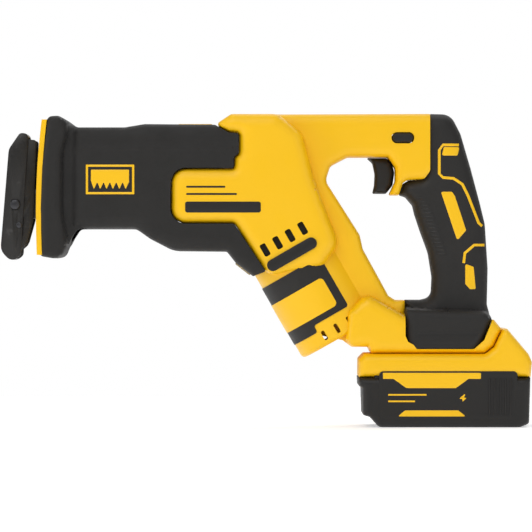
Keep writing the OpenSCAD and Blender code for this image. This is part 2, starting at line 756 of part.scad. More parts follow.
module switch_module() {
  color(black) {
    difference() {
      box([107, -12, 160], [130, 12, 187]);
      translate([0, 0, 175.5]) cyl_x(5, 106, 120);
    }
    box([112, -8, 152], [126, 8, 160]);
  }
}

module control_module() {
  color(aluminium) difference() {
    box([86, -14, 70], [138, 14, 80.5]);
    for (x = [92 : 8 : 132]) box([x, -15, 77], [x + 4, 15, 82]);
  }
}

module terminal_block() {
  color(black) {
    box([79, -16, 56.5], [84, 16, 66]);
    for (y = [-12 : 8 : 12]) box([83.9, y - 0.5, 58], [96, y + 0.5, 64]);
  }
}

/* Work light */

lens_outline = [[-21.5, 113.2, 0], [-11.2, 105.2, 0], [-6.4, 111, 0], [-16.6, 119.2, 0]];

module lens_block(gap) {
  prism(rounded(shrunk(lens_outline, -gap)), -16 - gap, 16 + gap);
}

module work_light_lens() {
  color([0.9, 0.75, 0.45, 0.6]) lens_block(0);
}

module work_light_board() {
  color([0.15, 0.35, 0.2]) prism([[-10.2, 114.9], [-6, 111.6], [-5, 112.9], [-9.2, 116.2]], -10, 10);
}

/* Fasteners and badges */

screw_places = [
  [-12, 210.2, 33], [36, 205, 18.2], [82, 205, 18.2], [30, 160, 33], [70, 104, 18.2], [69, 75, 31],
  [124, 196, 14.2], [140, 150, 14.2], [140, 100, 14.2]];

// Case screws go in from the right, through a boss that spans both halves.
module housing_screws() {
  color(steel) for (p = screw_places) translate([p.x, 0, p.y]) {
    cyl_y(1.9, -0.8 * p.z, p.z - 1.2);
    difference() {
      cyl_y(3.4, p.z - 3.2, p.z - 1);
      translate([0, p.z, 0]) rotate([90, 0, 0]) cylinder(h = 2.2, r = 1.6, $fn = 6);
    }
  }
}

module side_badges() {
  badge = rounded([[-55.8, 148.8, 1.4], [-3.4, 148.8, 1.4], [-3.4, 156.4, 1.4], [-55.8, 156.4, 1.4]]);
  color(black) both_sides() prism(badge, -case_half_w - 0.5, -case_half_w - 0.02);
}

module vent_bars() {
  color(black) both_sides() on_motor_axis(60.5) rotate([90, 0, 0])
    translate([2.4, 0, case_half_w + 0.02]) linear_extrude(0.8) {
      square([30.4, 8.2], center = true);
      for (x = [-15.2, 15.2]) translate([x, 0]) circle(r = 4.1);
    }
}

module top_plate() {
  color(yellow) box([-60.8, -9, 210.35], [-37.5, 9, 210.9]);
}

/* Battery pack */

pack_upper_cavity = [[67.4, 30], [181, 30], [181.6, 44.5], [165.5, 64.5], [160.8, 55.5], [153, 48.4], [67.4, 48.4]];
pack_lower_cavity = [[67.2, 40], [67.2, 30], [69.4, 28.4], [69.6, 9.8], [74, 9.2], [80.5, 2.4], [175.5, 2.4],
  [180.2, 4.2], [181, 40]];

module pack_upper_case() {
  color(yellow) difference() {
    union() {
      moulding(pack_upper_outline, pack_half_w, 3);
      box([80, -20, 50], [166, 20, 54.8]);
      box([80, -23.5, 54.8], [166, 23.5, 64.5]);
    }
    prism(pack_upper_cavity, 2.4 - pack_half_w, pack_half_w - 2.4);
    box([79, -16.5, 56.2], [100.2, 16.5, 66]);
    box([104, -18, 56], [150, 18, 66]);
    latch_prism(0.3, 1, 3);
  }
}

module pack_lower_case() {
  color(black) difference() {
    moulding(pack_lower_outline, pack_half_w, 2.5);
    prism(pack_lower_cavity, 2.2 - pack_half_w, pack_half_w - 2.2);
    translate([170, 0, 22]) cyl_x(3.25, 5, 30);
    for (p = pack_screw_places) {
      translate([p.x, p.y, -1]) cylinder(h = p.z + 2.15, r = 2.5);
      translate([p.x, p.y, 0]) cylinder(h = 14, r = 1.4);
    }
  }
}

cell_pitch = 18.8;
cell_x0 = 86.5;
cell_rows = [12.2, 31];

module pack_cells() {
  color([0.2, 0.45, 0.6]) for (i = [0 : 4], z = cell_rows)
    translate([cell_x0 + cell_pitch * i, 0, z]) cyl_y(cell_r, -cell_length / 2, cell_length / 2);
}

module pack_cell_holder() {
  color([0.25, 0.25, 0.27]) both_sides() difference() {
    union() {
      box([75.5, -34.6, 9.4], [172.5, -24, 42]);
      box([81, -34.6, 2.6], [172.5, -24, 9.5]);
    }
    for (i = [0 : 4], z = cell_rows)
      translate([cell_x0 + cell_pitch * i, 0, z]) {
        cyl_y(cell_r + 0.05, -cell_length / 2 - 0.05, 0);
        cyl_y(6, -40, 0);
      }
  }
}

module pack_contacts() {
  color(copper) for (y = [-12 : 8 : 12], m = [-1, 1])
    box([86, y + (m > 0 ? 0.6 : -1), 56.2], [100.2, y + (m > 0 ? 1 : -0.6), 63]);
}

module pack_labels() {
  label = rounded([[78.5, 6.8, 3], [151, 6.8, 1], [151, 38.4, 1], [78.5, 38.4, 3]]);
  color(black) both_sides() prism(label, -pack_half_w - 0.4, -pack_half_w - 0.02);
}

// Each screw stands at [x, y], with its head z up from the pack's foot.
pack_screw_places = [for (y = [-30, 30]) each [[71.3, y, 8], [176.2, y, 0.9]]];

module pack_screws() {
  color(steel) for (p = pack_screw_places) translate(p) {
    difference() {
      cylinder(h = 1.1, r = 2.4);
      translate([0, 0, -0.1]) cylinder(h = 0.8, r = 1.2, $fn = 6);
    }
    translate([0, 0, 1.05]) cylinder(h = 24, r = 1.3);
  }
}

latch_slope = 49.8; // degrees that the pack's rear face falls below the horizontal

module latch_prism(gap, proud, travel) {
  translate([167.3, 0, 68.4]) rotate([0, latch_slope, 0])
    box([2.6 - gap, -17 - gap, -6 - gap - travel], [19.5 + gap, 17 + gap, proud]);
}

module pack_latch() {
  color(black) latch_prism(0, 0.5, 0);
}

module gauge_button() {
  color(black) translate([0, 0, 22]) cyl_x(3, 178.2, 184.3);
}

shell(false);  // left_shell
shell(true);  // right_shell
grip(false);  // left_grip
grip(true);  // right_grip
motor_band(false);  // left_motor_band
motor_band(true);  // right_motor_band
motor_panel(false);  // left_motor_panel
motor_panel(true);  // right_motor_panel
nose_boot();
nose_rim();
gear_case();
gear_case_cover();
gear_case_screws();
bushing(-104, -95);  // front_bushing
bushing(-90, -79);  // rear_bushing
plunger_seal();
shoe_post();
crank_bearings();
motor_front_bearing();
motor_rear_bearing();
motor_end_plate();
stator_core();
stator_windings();
switch_module();
control_module();
terminal_block();
work_light_lens();
work_light_board();
housing_screws();
side_badges();
vent_bars();
top_plate();
plunger();
blade_clamp();
clamp_pin();
clamp_collar();
crank_roller();
crank_gear();
crank_shaft();
crank_counterweight();
rotor_core();
motor_shaft();
motor_pinion();
cooling_fan();
shoe();
shoe_bracket();
shoe_rivets();
trigger();
trigger_spring();
lock_off_button();
pack_lower_case();
pack_upper_case();
pack_cells();
pack_cell_holder();
pack_contacts();
pack_labels();
pack_screws();
pack_latch();
gauge_button();

module cooling_fan() {
  color(black) on_motor_axis(48) {
    tube(4.02, 8, 10);
    tube(7, 25, 1.2);
    for (k = [0 : 12]) rotate([0, 0, 360 / 13 * k]) translate([7.8, 0, 0.8]) rotate([0, 0, 25])
      box([0, -0.6, 0], [15, 0.6, 8]);
  }
}
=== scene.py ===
# %% [markdown]
# # A cordless reciprocating saw
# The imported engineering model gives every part's place, size and joint. This lesson dresses it:
# the moulded housings, rubber boot, grips and battery get new, rounder meshes over the plain
# engineering ones, and the metal parts inside keep their shape and get a finish.
# Everything is in metres in the frame's own axes: X along the saw, Y across it, Z up.

# %% Load the frame
import json
import math
import bmesh
import bpy
import numpy as np
from mathutils import Matrix, Vector, geometry

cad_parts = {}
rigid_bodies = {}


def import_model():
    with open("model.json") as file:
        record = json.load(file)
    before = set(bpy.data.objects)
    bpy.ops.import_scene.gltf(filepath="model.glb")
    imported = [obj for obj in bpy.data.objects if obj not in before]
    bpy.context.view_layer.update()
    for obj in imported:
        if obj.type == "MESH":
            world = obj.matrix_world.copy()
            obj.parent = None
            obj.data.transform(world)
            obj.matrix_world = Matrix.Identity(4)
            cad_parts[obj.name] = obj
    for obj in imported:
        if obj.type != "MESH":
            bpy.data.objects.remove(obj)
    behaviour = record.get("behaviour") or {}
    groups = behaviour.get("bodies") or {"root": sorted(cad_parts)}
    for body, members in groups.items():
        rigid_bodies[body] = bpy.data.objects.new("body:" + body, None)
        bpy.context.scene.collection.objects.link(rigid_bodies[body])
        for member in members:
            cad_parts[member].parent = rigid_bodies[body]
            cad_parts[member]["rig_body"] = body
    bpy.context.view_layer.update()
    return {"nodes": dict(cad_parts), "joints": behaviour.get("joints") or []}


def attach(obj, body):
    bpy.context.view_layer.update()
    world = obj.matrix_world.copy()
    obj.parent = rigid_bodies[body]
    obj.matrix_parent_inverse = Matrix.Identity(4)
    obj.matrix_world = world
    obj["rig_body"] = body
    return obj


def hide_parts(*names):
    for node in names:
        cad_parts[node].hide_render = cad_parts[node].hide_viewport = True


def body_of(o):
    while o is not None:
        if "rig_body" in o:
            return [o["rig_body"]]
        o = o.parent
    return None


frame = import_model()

MM = 0.001
rest_names = list(frame["nodes"])


# %% [markdown]
# ## Camera, floor and light
# A product view on a white table: a long lens, level with the saw and square to its left side.
# A long lens keeps the outline free of perspective. Big soft lights give the plastic its broad
# highlights, and a low one from the left picks out the edges of the black parts.

# %% Stage
def area_light(name, place, target, size, power, colour=(1, 1, 1)):
    data = bpy.data.lights.new(name, "AREA")
    data.shape = "RECTANGLE"
    data.size, data.size_y = size
    data.energy = power
    data.color = colour
    lamp = bpy.data.objects.new(name, data)
    aim = Vector(target) - Vector(place)
    lamp.matrix_world = Matrix.Translation(place) @ aim.to_track_quat("-Z", "Y").to_matrix().to_4x4()
    bpy.context.collection.objects.link(lamp)
    return lamp


FLOOR_GLOW = 0.45   # keeps the floor white beside the white surroundings
WORLD_LIGHT = 0.34  # how much the white surroundings light the saw
SAW_MIDDLE = Vector((0, 0, 0.112))
CAMERA_DISTANCE = 3.2
FRAME_WIDTH = 532 * 0.7 * MM
VIEW_CENTRE = Vector((266 * 0.7 - 186, 0, 298 - 266 * 0.7)) * MM

camera_data = bpy.data.cameras.new("camera")
camera_data.lens = 36 * CAMERA_DISTANCE / FRAME_WIDTH
camera_data.clip_end = 50
camera = bpy.data.objects.new("camera", camera_data)
camera.matrix_world = (
    Matrix.Translation(VIEW_CENTRE + Vector((0, -CAMERA_DISTANCE, 0)))
    @ Matrix.Rotation(math.radians(90), 4, "X"))
bpy.context.collection.objects.link(camera)
bpy.context.scene.camera = camera

area_light("key", (-0.5, -1.5, 1.5), SAW_MIDDLE, (1.4, 1.4), 15)
area_light("fill", (1.3, -1.3, 0.7), SAW_MIDDLE, (1.2, 1.6), 4)
area_light("edge", (-1.4, -0.5, 0.35), SAW_MIDDLE, (0.5, 1.0), 4)
area_light("top", (0.1, 0.5, 1.6), SAW_MIDDLE, (1.6, 1.0), 9)
area_light("back", (0.5, 1.6, 0.9), SAW_MIDDLE, (1.6, 1.2), 6)

world = bpy.data.worlds.new("studio")
world.use_nodes = True
world.node_tree.nodes["Background"].inputs["Color"].default_value = (1, 1, 1, 1)
seen = world.node_tree.nodes.new("ShaderNodeLightPath")
level = world.node_tree.nodes.new("ShaderNodeMapRange")
level.inputs["To Min"].default_value, level.inputs["To Max"].default_value = WORLD_LIGHT, 1.0
world.node_tree.links.new(seen.outputs["Is Camera Ray"], level.inputs["Value"])
world.node_tree.links.new(level.outputs["Result"], world.node_tree.nodes["Background"].inputs["Strength"])
bpy.context.scene.world = world
bpy.context.scene.view_settings.view_transform = "Standard"

floor_mesh = bpy.data.meshes.new("floor")
floor_mesh.from_pydata([(-1.2, -1.6, 0), (1.2, -1.6, 0), (1.2, 0.7, 0), (-1.2, 0.7, 0)], [], [(0, 1, 2, 3)])
floor = bpy.data.objects.new("floor", floor_mesh)
bpy.context.collection.objects.link(floor)
print("camera lens", round(camera_data.lens), "mm at", CAMERA_DISTANCE, "m")


# %% [markdown]
# ## Writing shader maths as Python
# A shader is a graph of nodes. Written by hand it is long and hard to read, so a small class
# wraps one socket and lets ordinary operators add the Math nodes. Every other node comes from
# one method that takes the node's type, its settings, and the values or links of its sockets.

# %% Shader helper
class Wire:
    def __init__(self, graph, socket):
        self.graph = graph
        self.socket = socket

    def math(self, operation, other=None, swap=False):
        first, second = (other, self) if swap else (self, other)
        sockets = {0: first} if second is None else {0: first, 1: second}
        return self.graph.node("ShaderNodeMath", {"operation": operation}, sockets)

    def __add__(self, other): return self.math("ADD", other)
    def __radd__(self, other): return self.math("ADD", other, True)
    def __sub__(self, other): return self.math("SUBTRACT", other)
    def __rsub__(self, other): return self.math("SUBTRACT", other, True)
    def __mul__(self, other): return self.math("MULTIPLY", other)
    def __rmul__(self, other): return self.math("MULTIPLY", other, True)
    def __truediv__(self, other): return self.math("DIVIDE", other)


class Graph:
    def __init__(self, name):
        self.material = bpy.data.materials.new(name)
        self.material.use_nodes = True
        self.tree = self.material.node_tree
        self.shader = self.tree.nodes["Principled BSDF"]

    def node(self, kind, settings=None, sockets=None, output=0):
        made = self.tree.nodes.new(kind)
        for key, value in (settings or {}).items():
            if key == "stops":
                self.set_stops(made.color_ramp, value)
            else:
                setattr(made, key, value)
        for key, value in (sockets or {}).items():
            self.feed(made.inputs[key], value)
        return Wire(self, made.outputs[output])

    def set_stops(self, ramp, stops):
        while len(ramp.elements) < len(stops):
            ramp.elements.new(0.5)
        for element, (place, colour) in zip(ramp.elements, stops):
            element.position = place
            element.color = colour

    def feed(self, socket, value):
        if isinstance(value, Wire):
            self.tree.links.new(value.socket, socket)
        else:
            socket.default_value = value

    def set(self, **values):
        for key, value in values.items():
            self.feed(self.shader.inputs[key.replace("_", " ")], value)

    def place(self):
        return self.node("ShaderNodeTexCoord", output="Object")

    def noise(self, scale, detail=3.0, rough=0.5, place=None):
        return self.node("ShaderNodeTexNoise", {}, {
            "Vector": place or self.place(), "Scale": scale, "Detail": detail, "Roughness": rough})

    def ramp(self, factor, low, high, start=0.0, end=1.0):
        return self.node("ShaderNodeMapRange", {"clamp": True}, {
            0: factor, 1: start, 2: end, 3: low, 4: high})

    def mix(self, factor, first, second):
        return self.node("ShaderNodeMix", {"data_type": "RGBA"}, {0: factor, 6: first, 7: second}, 2)

    def bump(self, height, strength, distance):
        return self.node("ShaderNodeBump", {}, {
            "Height": height, "Strength": strength, "Distance": distance})


def shade(colour, factor):
    return tuple(min(1, c * factor) for c in colour[:3]) + (1,)


# %% [markdown]
# ## Moulded plastic and rubber
# A moulded housing isn't one flat colour. The tool's cavity is spark-eroded, so the surface is
# covered in fine pits that scatter light, the resin flows in faint clouds, and handling polishes
# it in patches. Three noises at three scales do this: pits into the bump, clouds into the
# colour, and patches into the roughness. Rubber takes the same recipe, duller and coarser.

# %% Moulded finishes
def moulded(name, colour, roughness, pits=1900, pit_depth=0.00006, clouds=0.06, sheen=0.0, coat=0.0):
    graph = Graph(name)
    cloud = graph.noise(22, 4)
    patches = graph.noise(75, 5, 0.6)
    grain = graph.noise(pits, 2, 0.6)
    specks = graph.noise(pits * 0.4, 1)
    base = graph.mix(cloud, shade(colour, 1 - clouds), shade(colour, 1 + clouds))
    tint = graph.mix(graph.ramp(specks, 0, 0.35, 0.62, 0.75), base, shade(colour, 1 - 2.5 * clouds))
    graph.set(Base_Color=tint,
              Roughness=graph.ramp(patches, roughness - 0.07, roughness + 0.07, 0.3, 0.7),
              Normal=graph.bump(grain + patches * 0.35, 0.55, pit_depth))
    graph.set(Coat_Weight=coat, Coat_Roughness=0.35, Sheen_Weight=sheen, Sheen_Roughness=0.5,
              Specular_IOR_Level=0.35)
    return graph.material


YELLOW = (0.93, 0.53, 0.0, 1)
BLACK = (0.0125, 0.0115, 0.0105, 1)
yellow_plastic = moulded("yellow_plastic", YELLOW, 0.42, clouds=0.02, coat=0.12)
black_rubber = moulded("black_rubber", BLACK, 0.62, pits=1500, pit_depth=0.00009, clouds=0.14, sheen=0.04)
soft_grip = moulded("soft_grip", shade(BLACK, 1.15), 0.58, pits=1300, pit_depth=0.0001, clouds=0.12,
                    sheen=0.03)
black_plastic = moulded("black_plastic", BLACK, 0.46, clouds=0.1)
pale_floor = moulded("pale_floor", (0.86, 0.86, 0.86, 1), 0.7, pits=300, pit_depth=0.00002, clouds=0.004)
pale_floor.node_tree.nodes["Principled BSDF"].inputs["Emission Color"].default_value = (1, 1, 1, 1)
pale_floor.node_tree.nodes["Principled BSDF"].inputs["Emission Strength"].default_value = FLOOR_GLOW
floor.data.materials.append(pale_floor)
print("moulded finishes:", yellow_plastic.name, black_rubber.name, soft_grip.name, black_plastic.name)


# %% [markdown]
# ## Metals
# Turned and ground steel carries fine marks in one direction, so its noise is stretched along
# one axis. Cast aluminium has a sandy skin. Black-coated steel has the ripple of paint, and its
# coating wears thin where the noise is highest.

# %% Metal finishes
def metal(name, colour, roughness, stretch=(1, 1, 1), scale=900, depth=0.00003, metallic=1.0, wear=0.0):
    graph = Graph(name)
    lines = graph.node("ShaderNodeMapping", {}, {"Vector": graph.place(), "Scale": stretch})
    marks = graph.noise(scale, 3, 0.6, lines)
    stain = graph.noise(60, 4, 0.6)
    base = graph.mix(stain, shade(colour, 0.86), shade(colour, 1.1))
    if wear:
        base = graph.mix(graph.ramp(stain, 0, wear, 0.6, 0.72), base, (0.4, 0.4, 0.41, 1))
    graph.set(Base_Color=base, Metallic=metallic,
              Roughness=graph.ramp(marks, roughness - 0.08, roughness + 0.1, 0.3, 0.7),
              Normal=graph.bump(marks, 0.4, depth))
    return graph.material


ground_steel = metal("ground_steel", (0.62, 0.62, 0.64, 1), 0.28, (0.08, 1, 1))
cast_aluminium = metal("cast_aluminium", (0.66, 0.67, 0.68, 1), 0.5, scale=1400, depth=0.00012)
black_steel = metal("black_steel", (0.028, 0.027, 0.026, 1), 0.36, scale=500, metallic=0.55, wear=0.12)
screw_steel = metal("screw_steel", (0.07, 0.07, 0.075, 1), 0.35, scale=700, wear=0.25)
bronze = metal("sintered_bronze", (0.56, 0.36, 0.17, 1), 0.55, scale=2600, depth=0.00008)
copper = metal("enamelled_copper", (0.72, 0.3, 0.12, 1), 0.3, (1, 1, 0.1))
print("metal finishes: 6")


# %% [markdown]
# ## Lens, circuit board and cell wrap
# Three small finishes: a warm clear moulding over the work light, a green lacquered board, and
# the shrink wrap around each battery cell.

# %% Small finishes
def clear_lens():
    graph = Graph("light_lens")
    ripple = graph.noise(300, 2)
    graph.set(Base_Color=graph.mix(ripple, (0.75, 0.52, 0.22, 1), (0.95, 0.78, 0.46, 1)),
              Roughness=graph.ramp(ripple, 0.1, 0.22, 0.3, 0.7),
              Normal=graph.bump(ripple, 0.3, 0.0002))
    graph.set(Transmission_Weight=0.55, IOR=1.49)
    return graph.material


light_lens = clear_lens()
circuit_board = moulded("circuit_board", (0.02, 0.12, 0.05, 1), 0.3, pits=700, clouds=0.3, coat=0.5)
cell_wrap = moulded("cell_wrap", (0.03, 0.16, 0.3, 1), 0.25, pits=400, clouds=0.1, coat=0.6)
# Near-black finish that is painted shade: a sheet of it just inside the upper vent slots stands for the
# dark inside the vents.
vent_shadow = moulded("vent_shadow", (0.006, 0.006, 0.006, 1), 0.7, clouds=0.2)
print("small finishes: 4")


# %% [markdown]
# ## Relief: a moulding as a height over its side view
# A clamshell tool is designed from its side: an outline, and a height above the parting plane
# at each point. The height is high in the middle, rounds off towards the edge, and steps where
# one mass meets another. So each moulding is built that way. The outline's corners are rounded,
# rows of points follow it inwards, a grid fills the middle, and a constrained triangulation
# joins them. An outer and an inner height then lift it into a closed, walled shell.

# %% Outlines and distances
GRID = 2.2                # mm between points inside an outline
SHARP = math.radians(38)  # edges bent more than this shade as sharp


def corner(a, b, c, radius):
    u, v = (a - b) / np.linalg.norm(a - b), (c - b) / np.linalg.norm(c - b)
    half = math.acos(max(-1, min(1, float(u @ v)))) / 2
    if radius < 0.05 or half > 1.55:
        return [b]
    middle = b + (u + v) / np.linalg.norm(u + v) * radius / math.sin(half)
    start, end = b + u * radius / math.tan(half) - middle, b + v * radius / math.tan(half) - middle
    first = math.atan2(start[1], start[0])
    sweep = (math.atan2(end[1], end[0]) - first + math.pi) % (2 * math.pi) - math.pi
    count = max(2, math.ceil(abs(sweep) / math.radians(11)))
    return [middle + radius * np.array([math.cos(first + sweep * i / count),
                                        math.sin(first + sweep * i / count)]) for i in range(count + 1)]


def rounded(outline):
    points = [np.array(p[:2], float) for p in outline]
    radii = [p[2] if len(p) > 2 else 0.4 for p in outline]
    count = len(points)
    made = [q for i in range(count)
            for q in corner(points[i - 1], points[i], points[(i + 1) % count], radii[i])]
    return np.array([p for i, p in enumerate(made) if np.linalg.norm(p - made[i - 1]) > 0.02])


def split_long(outline, step):
    made = []
    for a, b in zip(outline, np.roll(outline, -1, 0)):
        count = max(1, round(float(np.linalg.norm(b - a)) / step))
        made += [a + (b - a) * i / count for i in range(count)]
    return np.array(made)


def depth_in(points, outline):
    """Distance inside the outline, negative outside."""
    a, b = outline, np.roll(outline, -1, 0)
    along = b - a
    length = (along ** 2).sum(1)
    best = np.full(len(points), 1e9)
    inside = np.zeros(len(points), bool)
    for start, way, size in zip(a, along, length):
        rel = points - start
        t = np.clip((rel @ way) / size, 0, 1)
        best = np.minimum(best, np.linalg.norm(rel - t[:, None] * way, axis=1))
        end = start + way
        crosses = (start[1] > points[:, 1]) != (end[1] > points[:, 1])
        if way[1]:
            inside ^= crosses & (rel[:, 0] < way[0] * rel[:, 1] / way[1])
    return np.where(inside, best, -best)


def inward_rows(outline, depths):
    away = np.roll(outline, -1, 0) - np.roll(outline, 1, 0)
    normal = np.stack([-away[:, 1], away[:, 0]], 1) / np.linalg.norm(away, axis=1)[:, None]
    rows = [outline + normal * d for d in depths]
    return np.concatenate([row[np.abs(depth_in(row, outline) - d) < 0.05 * abs(d) + 0.04]
                           for row, d in zip(rows, depths)])


# %% [markdown]
# The triangulation needs its points well spaced: two points almost on top of each other make a
# sliver that catches the light. So a coarse bucket grid drops every point that has a neighbour
# closer than a limit, and the points that come first, the outline and its rows, win.

# %% Relief builder
def spaced(groups, limit):
    kept, taken = [], {}
    for points, must in groups:
        for p in points:
            key = (int(p[0] // limit), int(p[1] // limit))
            near = any(np.hypot(*(p - q)) < limit for i in (-1, 0, 1) for j in (-1, 0, 1)
                       for q in taken.get((key[0] + i, key[1] + j), ()))
            if must or not near:
                kept.append(p)
                taken.setdefault(key, []).append(p)
    return np.array(kept)


def hex_grid(outline, margin, step):
    low, high = outline.min(0), outline.max(0)
    rows = np.arange(low[1], high[1], step * 0.866)
    points = np.array([(x + (i % 2) * step / 2, z) for i, z in enumerate(rows)
                       for x in np.arange(low[0], high[0], step)])
    return points[depth_in(points, outline) > margin]


def flat_side(u, v, height):
    return np.stack([u, -height, v], 1)


def mesh_object(name, points, faces, material):
    mesh = bpy.data.meshes.new(name)
    mesh.from_pydata([tuple(p) for p in points], [], faces)
    mesh.materials.append(material)
    for polygon in mesh.polygons:
        polygon.use_smooth = True
    mesh.set_sharp_from_angle(angle=SHARP)
    piece = bpy.data.objects.new(name, mesh)
    bpy.context.collection.objects.link(piece)
    return piece


def outward(piece):
    turn = bmesh.new()
    turn.from_mesh(piece.data)
    bmesh.ops.recalc_face_normals(turn, faces=turn.faces)
    turn.to_mesh(piece.data)
    turn.free()
    piece.data.set_sharp_from_angle(angle=SHARP)
    return piece


def relief(name, outline, outer, inner, material, rows=(0.4, 1.2, 2.4, 4), creases=(), step=GRID,
           place=flat_side):
    edge = split_long(rounded(outline), step)
    lines = [c[depth_in(c, edge) > 0.5] for c in creases]
    points = spaced([(edge, True)] + [(line, False) for line in lines if len(line)]
                    + [(inward_rows(edge, rows), False), (hex_grid(edge, rows[-1], step), False)],
                    0.3 * step)
    count = len(edge)
    solved = geometry.delaunay_2d_cdt([Vector(p) for p in points], [],
                                      [list(range(count))], 1, 1e-5)
    flat = np.array([tuple(p) for p in solved[0]])
    faces = [list(f) for f in solved[2]]
    border = [min(range(len(flat)), key=lambda i, p=p: abs(flat[i, 0] - p[0]) + abs(flat[i, 1] - p[1]))
              for p in edge] if len(flat) != len(points) else list(range(count))
    depth = np.maximum(depth_in(flat, edge), 0)
    top = place(flat[:, 0], flat[:, 1], outer(flat, depth)) * MM
    bottom = place(flat[:, 0], flat[:, 1], inner(flat, depth)) * MM
    total = len(flat)
    walls = [[border[i], border[(i + 1) % count], border[(i + 1) % count] + total, border[i] + total]
             for i in range(count)]
    under = [[i + total for i in reversed(f)] for f in faces]
    return outward(mesh_object(name, np.concatenate([top, bottom]), faces + under + walls, material))


def mirrored(piece, name):
    data = piece.data.copy()
    data.transform(Matrix.Scale(-1, 4, (0, 1, 0)))
    data.flip_normals()
    copy = bpy.data.objects.new(name, data)
    bpy.context.collection.objects.link(copy)
    return copy


# %% [markdown]
# ## The saw's masses
# Each mass has its own outline, half width, edge height and edge radius. A mass rises steeply
# just outside its outline, then rounds over to its crown. Taking the higher of all masses at
# each point gives the whole housing, with a crease where two masses meet.

# %% Masses
RAMP = 1.6   # mm over which a mass rises outside its outline
SEAM = 0.06  # mm between each half and the parting plane
WALL = 2.6   # mm of plastic
ROUND = 2.3  # roundness of an edge, 2 being a circle


class Mass:
    def __init__(self, outline, width, edge, radius, crown=0.0):
        self.edge_line = rounded(outline)
        self.width, self.edge, self.radius, self.crown = width, edge, radius, crown

    def height(self, points, shrink=0.0):
        depth = depth_in(points, self.edge_line) - shrink
        over = 1 - np.clip(depth / self.radius, 0, 1)
        top = self.edge + (self.width - self.edge) * (1 - over ** ROUND) ** (1 / ROUND)
        top = top - self.crown * np.exp(-np.maximum(depth, 0) / 14)
        return np.where(depth > 0, top, self.edge * np.clip(1 + depth / RAMP, 0, 1) ** 0.8)

    def creases(self, step=1.8):
        line = split_long(self.edge_line, step)
        return [inward_rows(line, [d]) for d in (-RAMP, -0.5 * RAMP, 0.01)] + [
            inward_rows(line, [d * self.radius]) for d in (0.06, 0.22, 0.5, 1.0)]


def highest(masses):
    def height(points, _depth, shrink=0.0):
        return np.max([m.height(points, shrink) for m in masses], 0)
    return height


def hollow(height, wall=WALL, seam=SEAM):
    def inner(points, depth):
        return np.maximum(height(points, depth, wall) - wall, seam)
    return inner


GEAR_COVER = [(-65.5, 141.4, 10), (-22, 141.4, 3), (1.5, 105.4, 9), (40, 112, 7), (50, 128, 10),
              (33, 172, 16), (25, 203, 14), (8, 217.2, 9), (-24, 217.2, 4), (-34.8, 210, 2),
              (-25.6, 204.5, 3), (-18.5, 204, 2), (-18.5, 190.5, 2), (-21.9, 187, 1.5),
              (-21.9, 179.6, 1.5), (-65.5, 179.6, 10)]
BEAM = [(-30, 190, 2), (0, 130, 2), (34, 64, 2), (53.5, 58, 2), (97, 55.7, 1), (97, 88, 0.4),
        (90.3, 88, 3), (85.5, 91, 3), (67.6, 123.6, 5), (65.4, 133.5, 5), (41.6, 171, 7),
        (45, 181.5, 6), (57, 187.8, 5), (85, 187.8, 2), (90.5, 180, 5), (90.5, 171, 4), (86, 161.3, 1),
        (92.9, 161.3, 0.5), (95.6, 169.5, 2), (99, 171.6, 2), (110.5, 172.2, 4), (116, 176, 3),
        (126, 178, 1), (126, 217.7, 0.5), (-22, 217.2, 4)]
FOOT = [(73.2, 51.3, 1.5), (152, 51.3, 5), (158, 56.1, 3), (163.7, 68.1, 1.5), (157.4, 75.6, 2),
        (150, 82, 4), (98, 76, 10), (70, 92, 8), (57, 80, 6), (55.5, 61, 3), (59.4, 55.7, 3),
        (71, 55.7, 1.5)]
HOUSING = [(73.2, 51.3, 1.5), (152, 51.3, 5), (158, 56.1, 3), (163.7, 68.1, 1.5), (157.6, 75.4, 1),
           (151.3, 60.4, 3), (144.4, 54.2, 3), (104.6, 54.2, 2), (102.4, 57.2, 2), (98.6, 59.2, 2),
           (96.8, 63.4, 2), (96.8, 88, 0.8), (90.3, 88, 3), (85.5, 91, 3), (67.6, 123.6, 5),
           (65.4, 133.5, 5), (41.6, 171, 7), (45, 181.5, 6), (57, 187.8, 5), (85, 187.8, 2),
           (90.5, 180, 5), (90.5, 171, 4), (86, 161.3, 1), (92.7, 161.3, 0.5), (95.4, 169.5, 2),
           (98.8, 171.8, 2), (110.4, 172.4, 4), (114.4, 178, 4), (114.4, 217.7, 0.8), (-24, 217.2, 4),
           (-34.8, 210, 2), (-25.6, 204.5, 3), (-18.5, 204, 2), (-18.5, 190.5, 2), (-21.9, 187, 1.5),
           (-21.9, 179.6, 1.5), (-65.5, 179.6, 10), (-65.5, 141.4, 10), (-22, 141.4, 3),
           (1.5, 105.4, 6), (12, 103.4, 6), (30, 113, 4), (40, 108, 5), (53.5, 86, 4), (36, 69, 4),
           (36, 64, 4), (53.5, 60.2, 2), (59.4, 55.7, 3), (71, 55.7, 1.5)]

housing_masses = [Mass(GEAR_COVER, 36, 30, 9, 0.8), Mass(BEAM, 21, 16.5, 7, 0.4),
                  Mass(FOOT, 35.4, 29, 8, 0.3)]
housing_height = highest(housing_masses)
housing_creases = [line for mass in housing_masses for line in mass.creases()]
housing = relief("left_housing", HOUSING, housing_height, hollow(housing_height), yellow_plastic,
                 creases=housing_creases)
print("left housing:", len(housing.data.polygons), "faces")


# %% [markdown]
# ## Motor barrel
# The motor hangs below the crank drive at sixty degrees, in a round barrel. A relief over the
# side view would pinch at its edge, so the barrel is turned, and the bands on it are the relief
# laid on a cylinder: flat coordinates become the way round and the way along, height the radius.

# %% Barrel coordinates
spin = next(j for j in frame["joints"] if j["name"] == "rotor_spin")
crank_middle = np.array(spin["pos_m"]) / MM
motor_way = np.array(spin["axis"])
nose_way = np.array([-motor_way[2], 0, motor_way[0]]) * -1
BARREL_R = 32.0
BARREL_END = 127.5


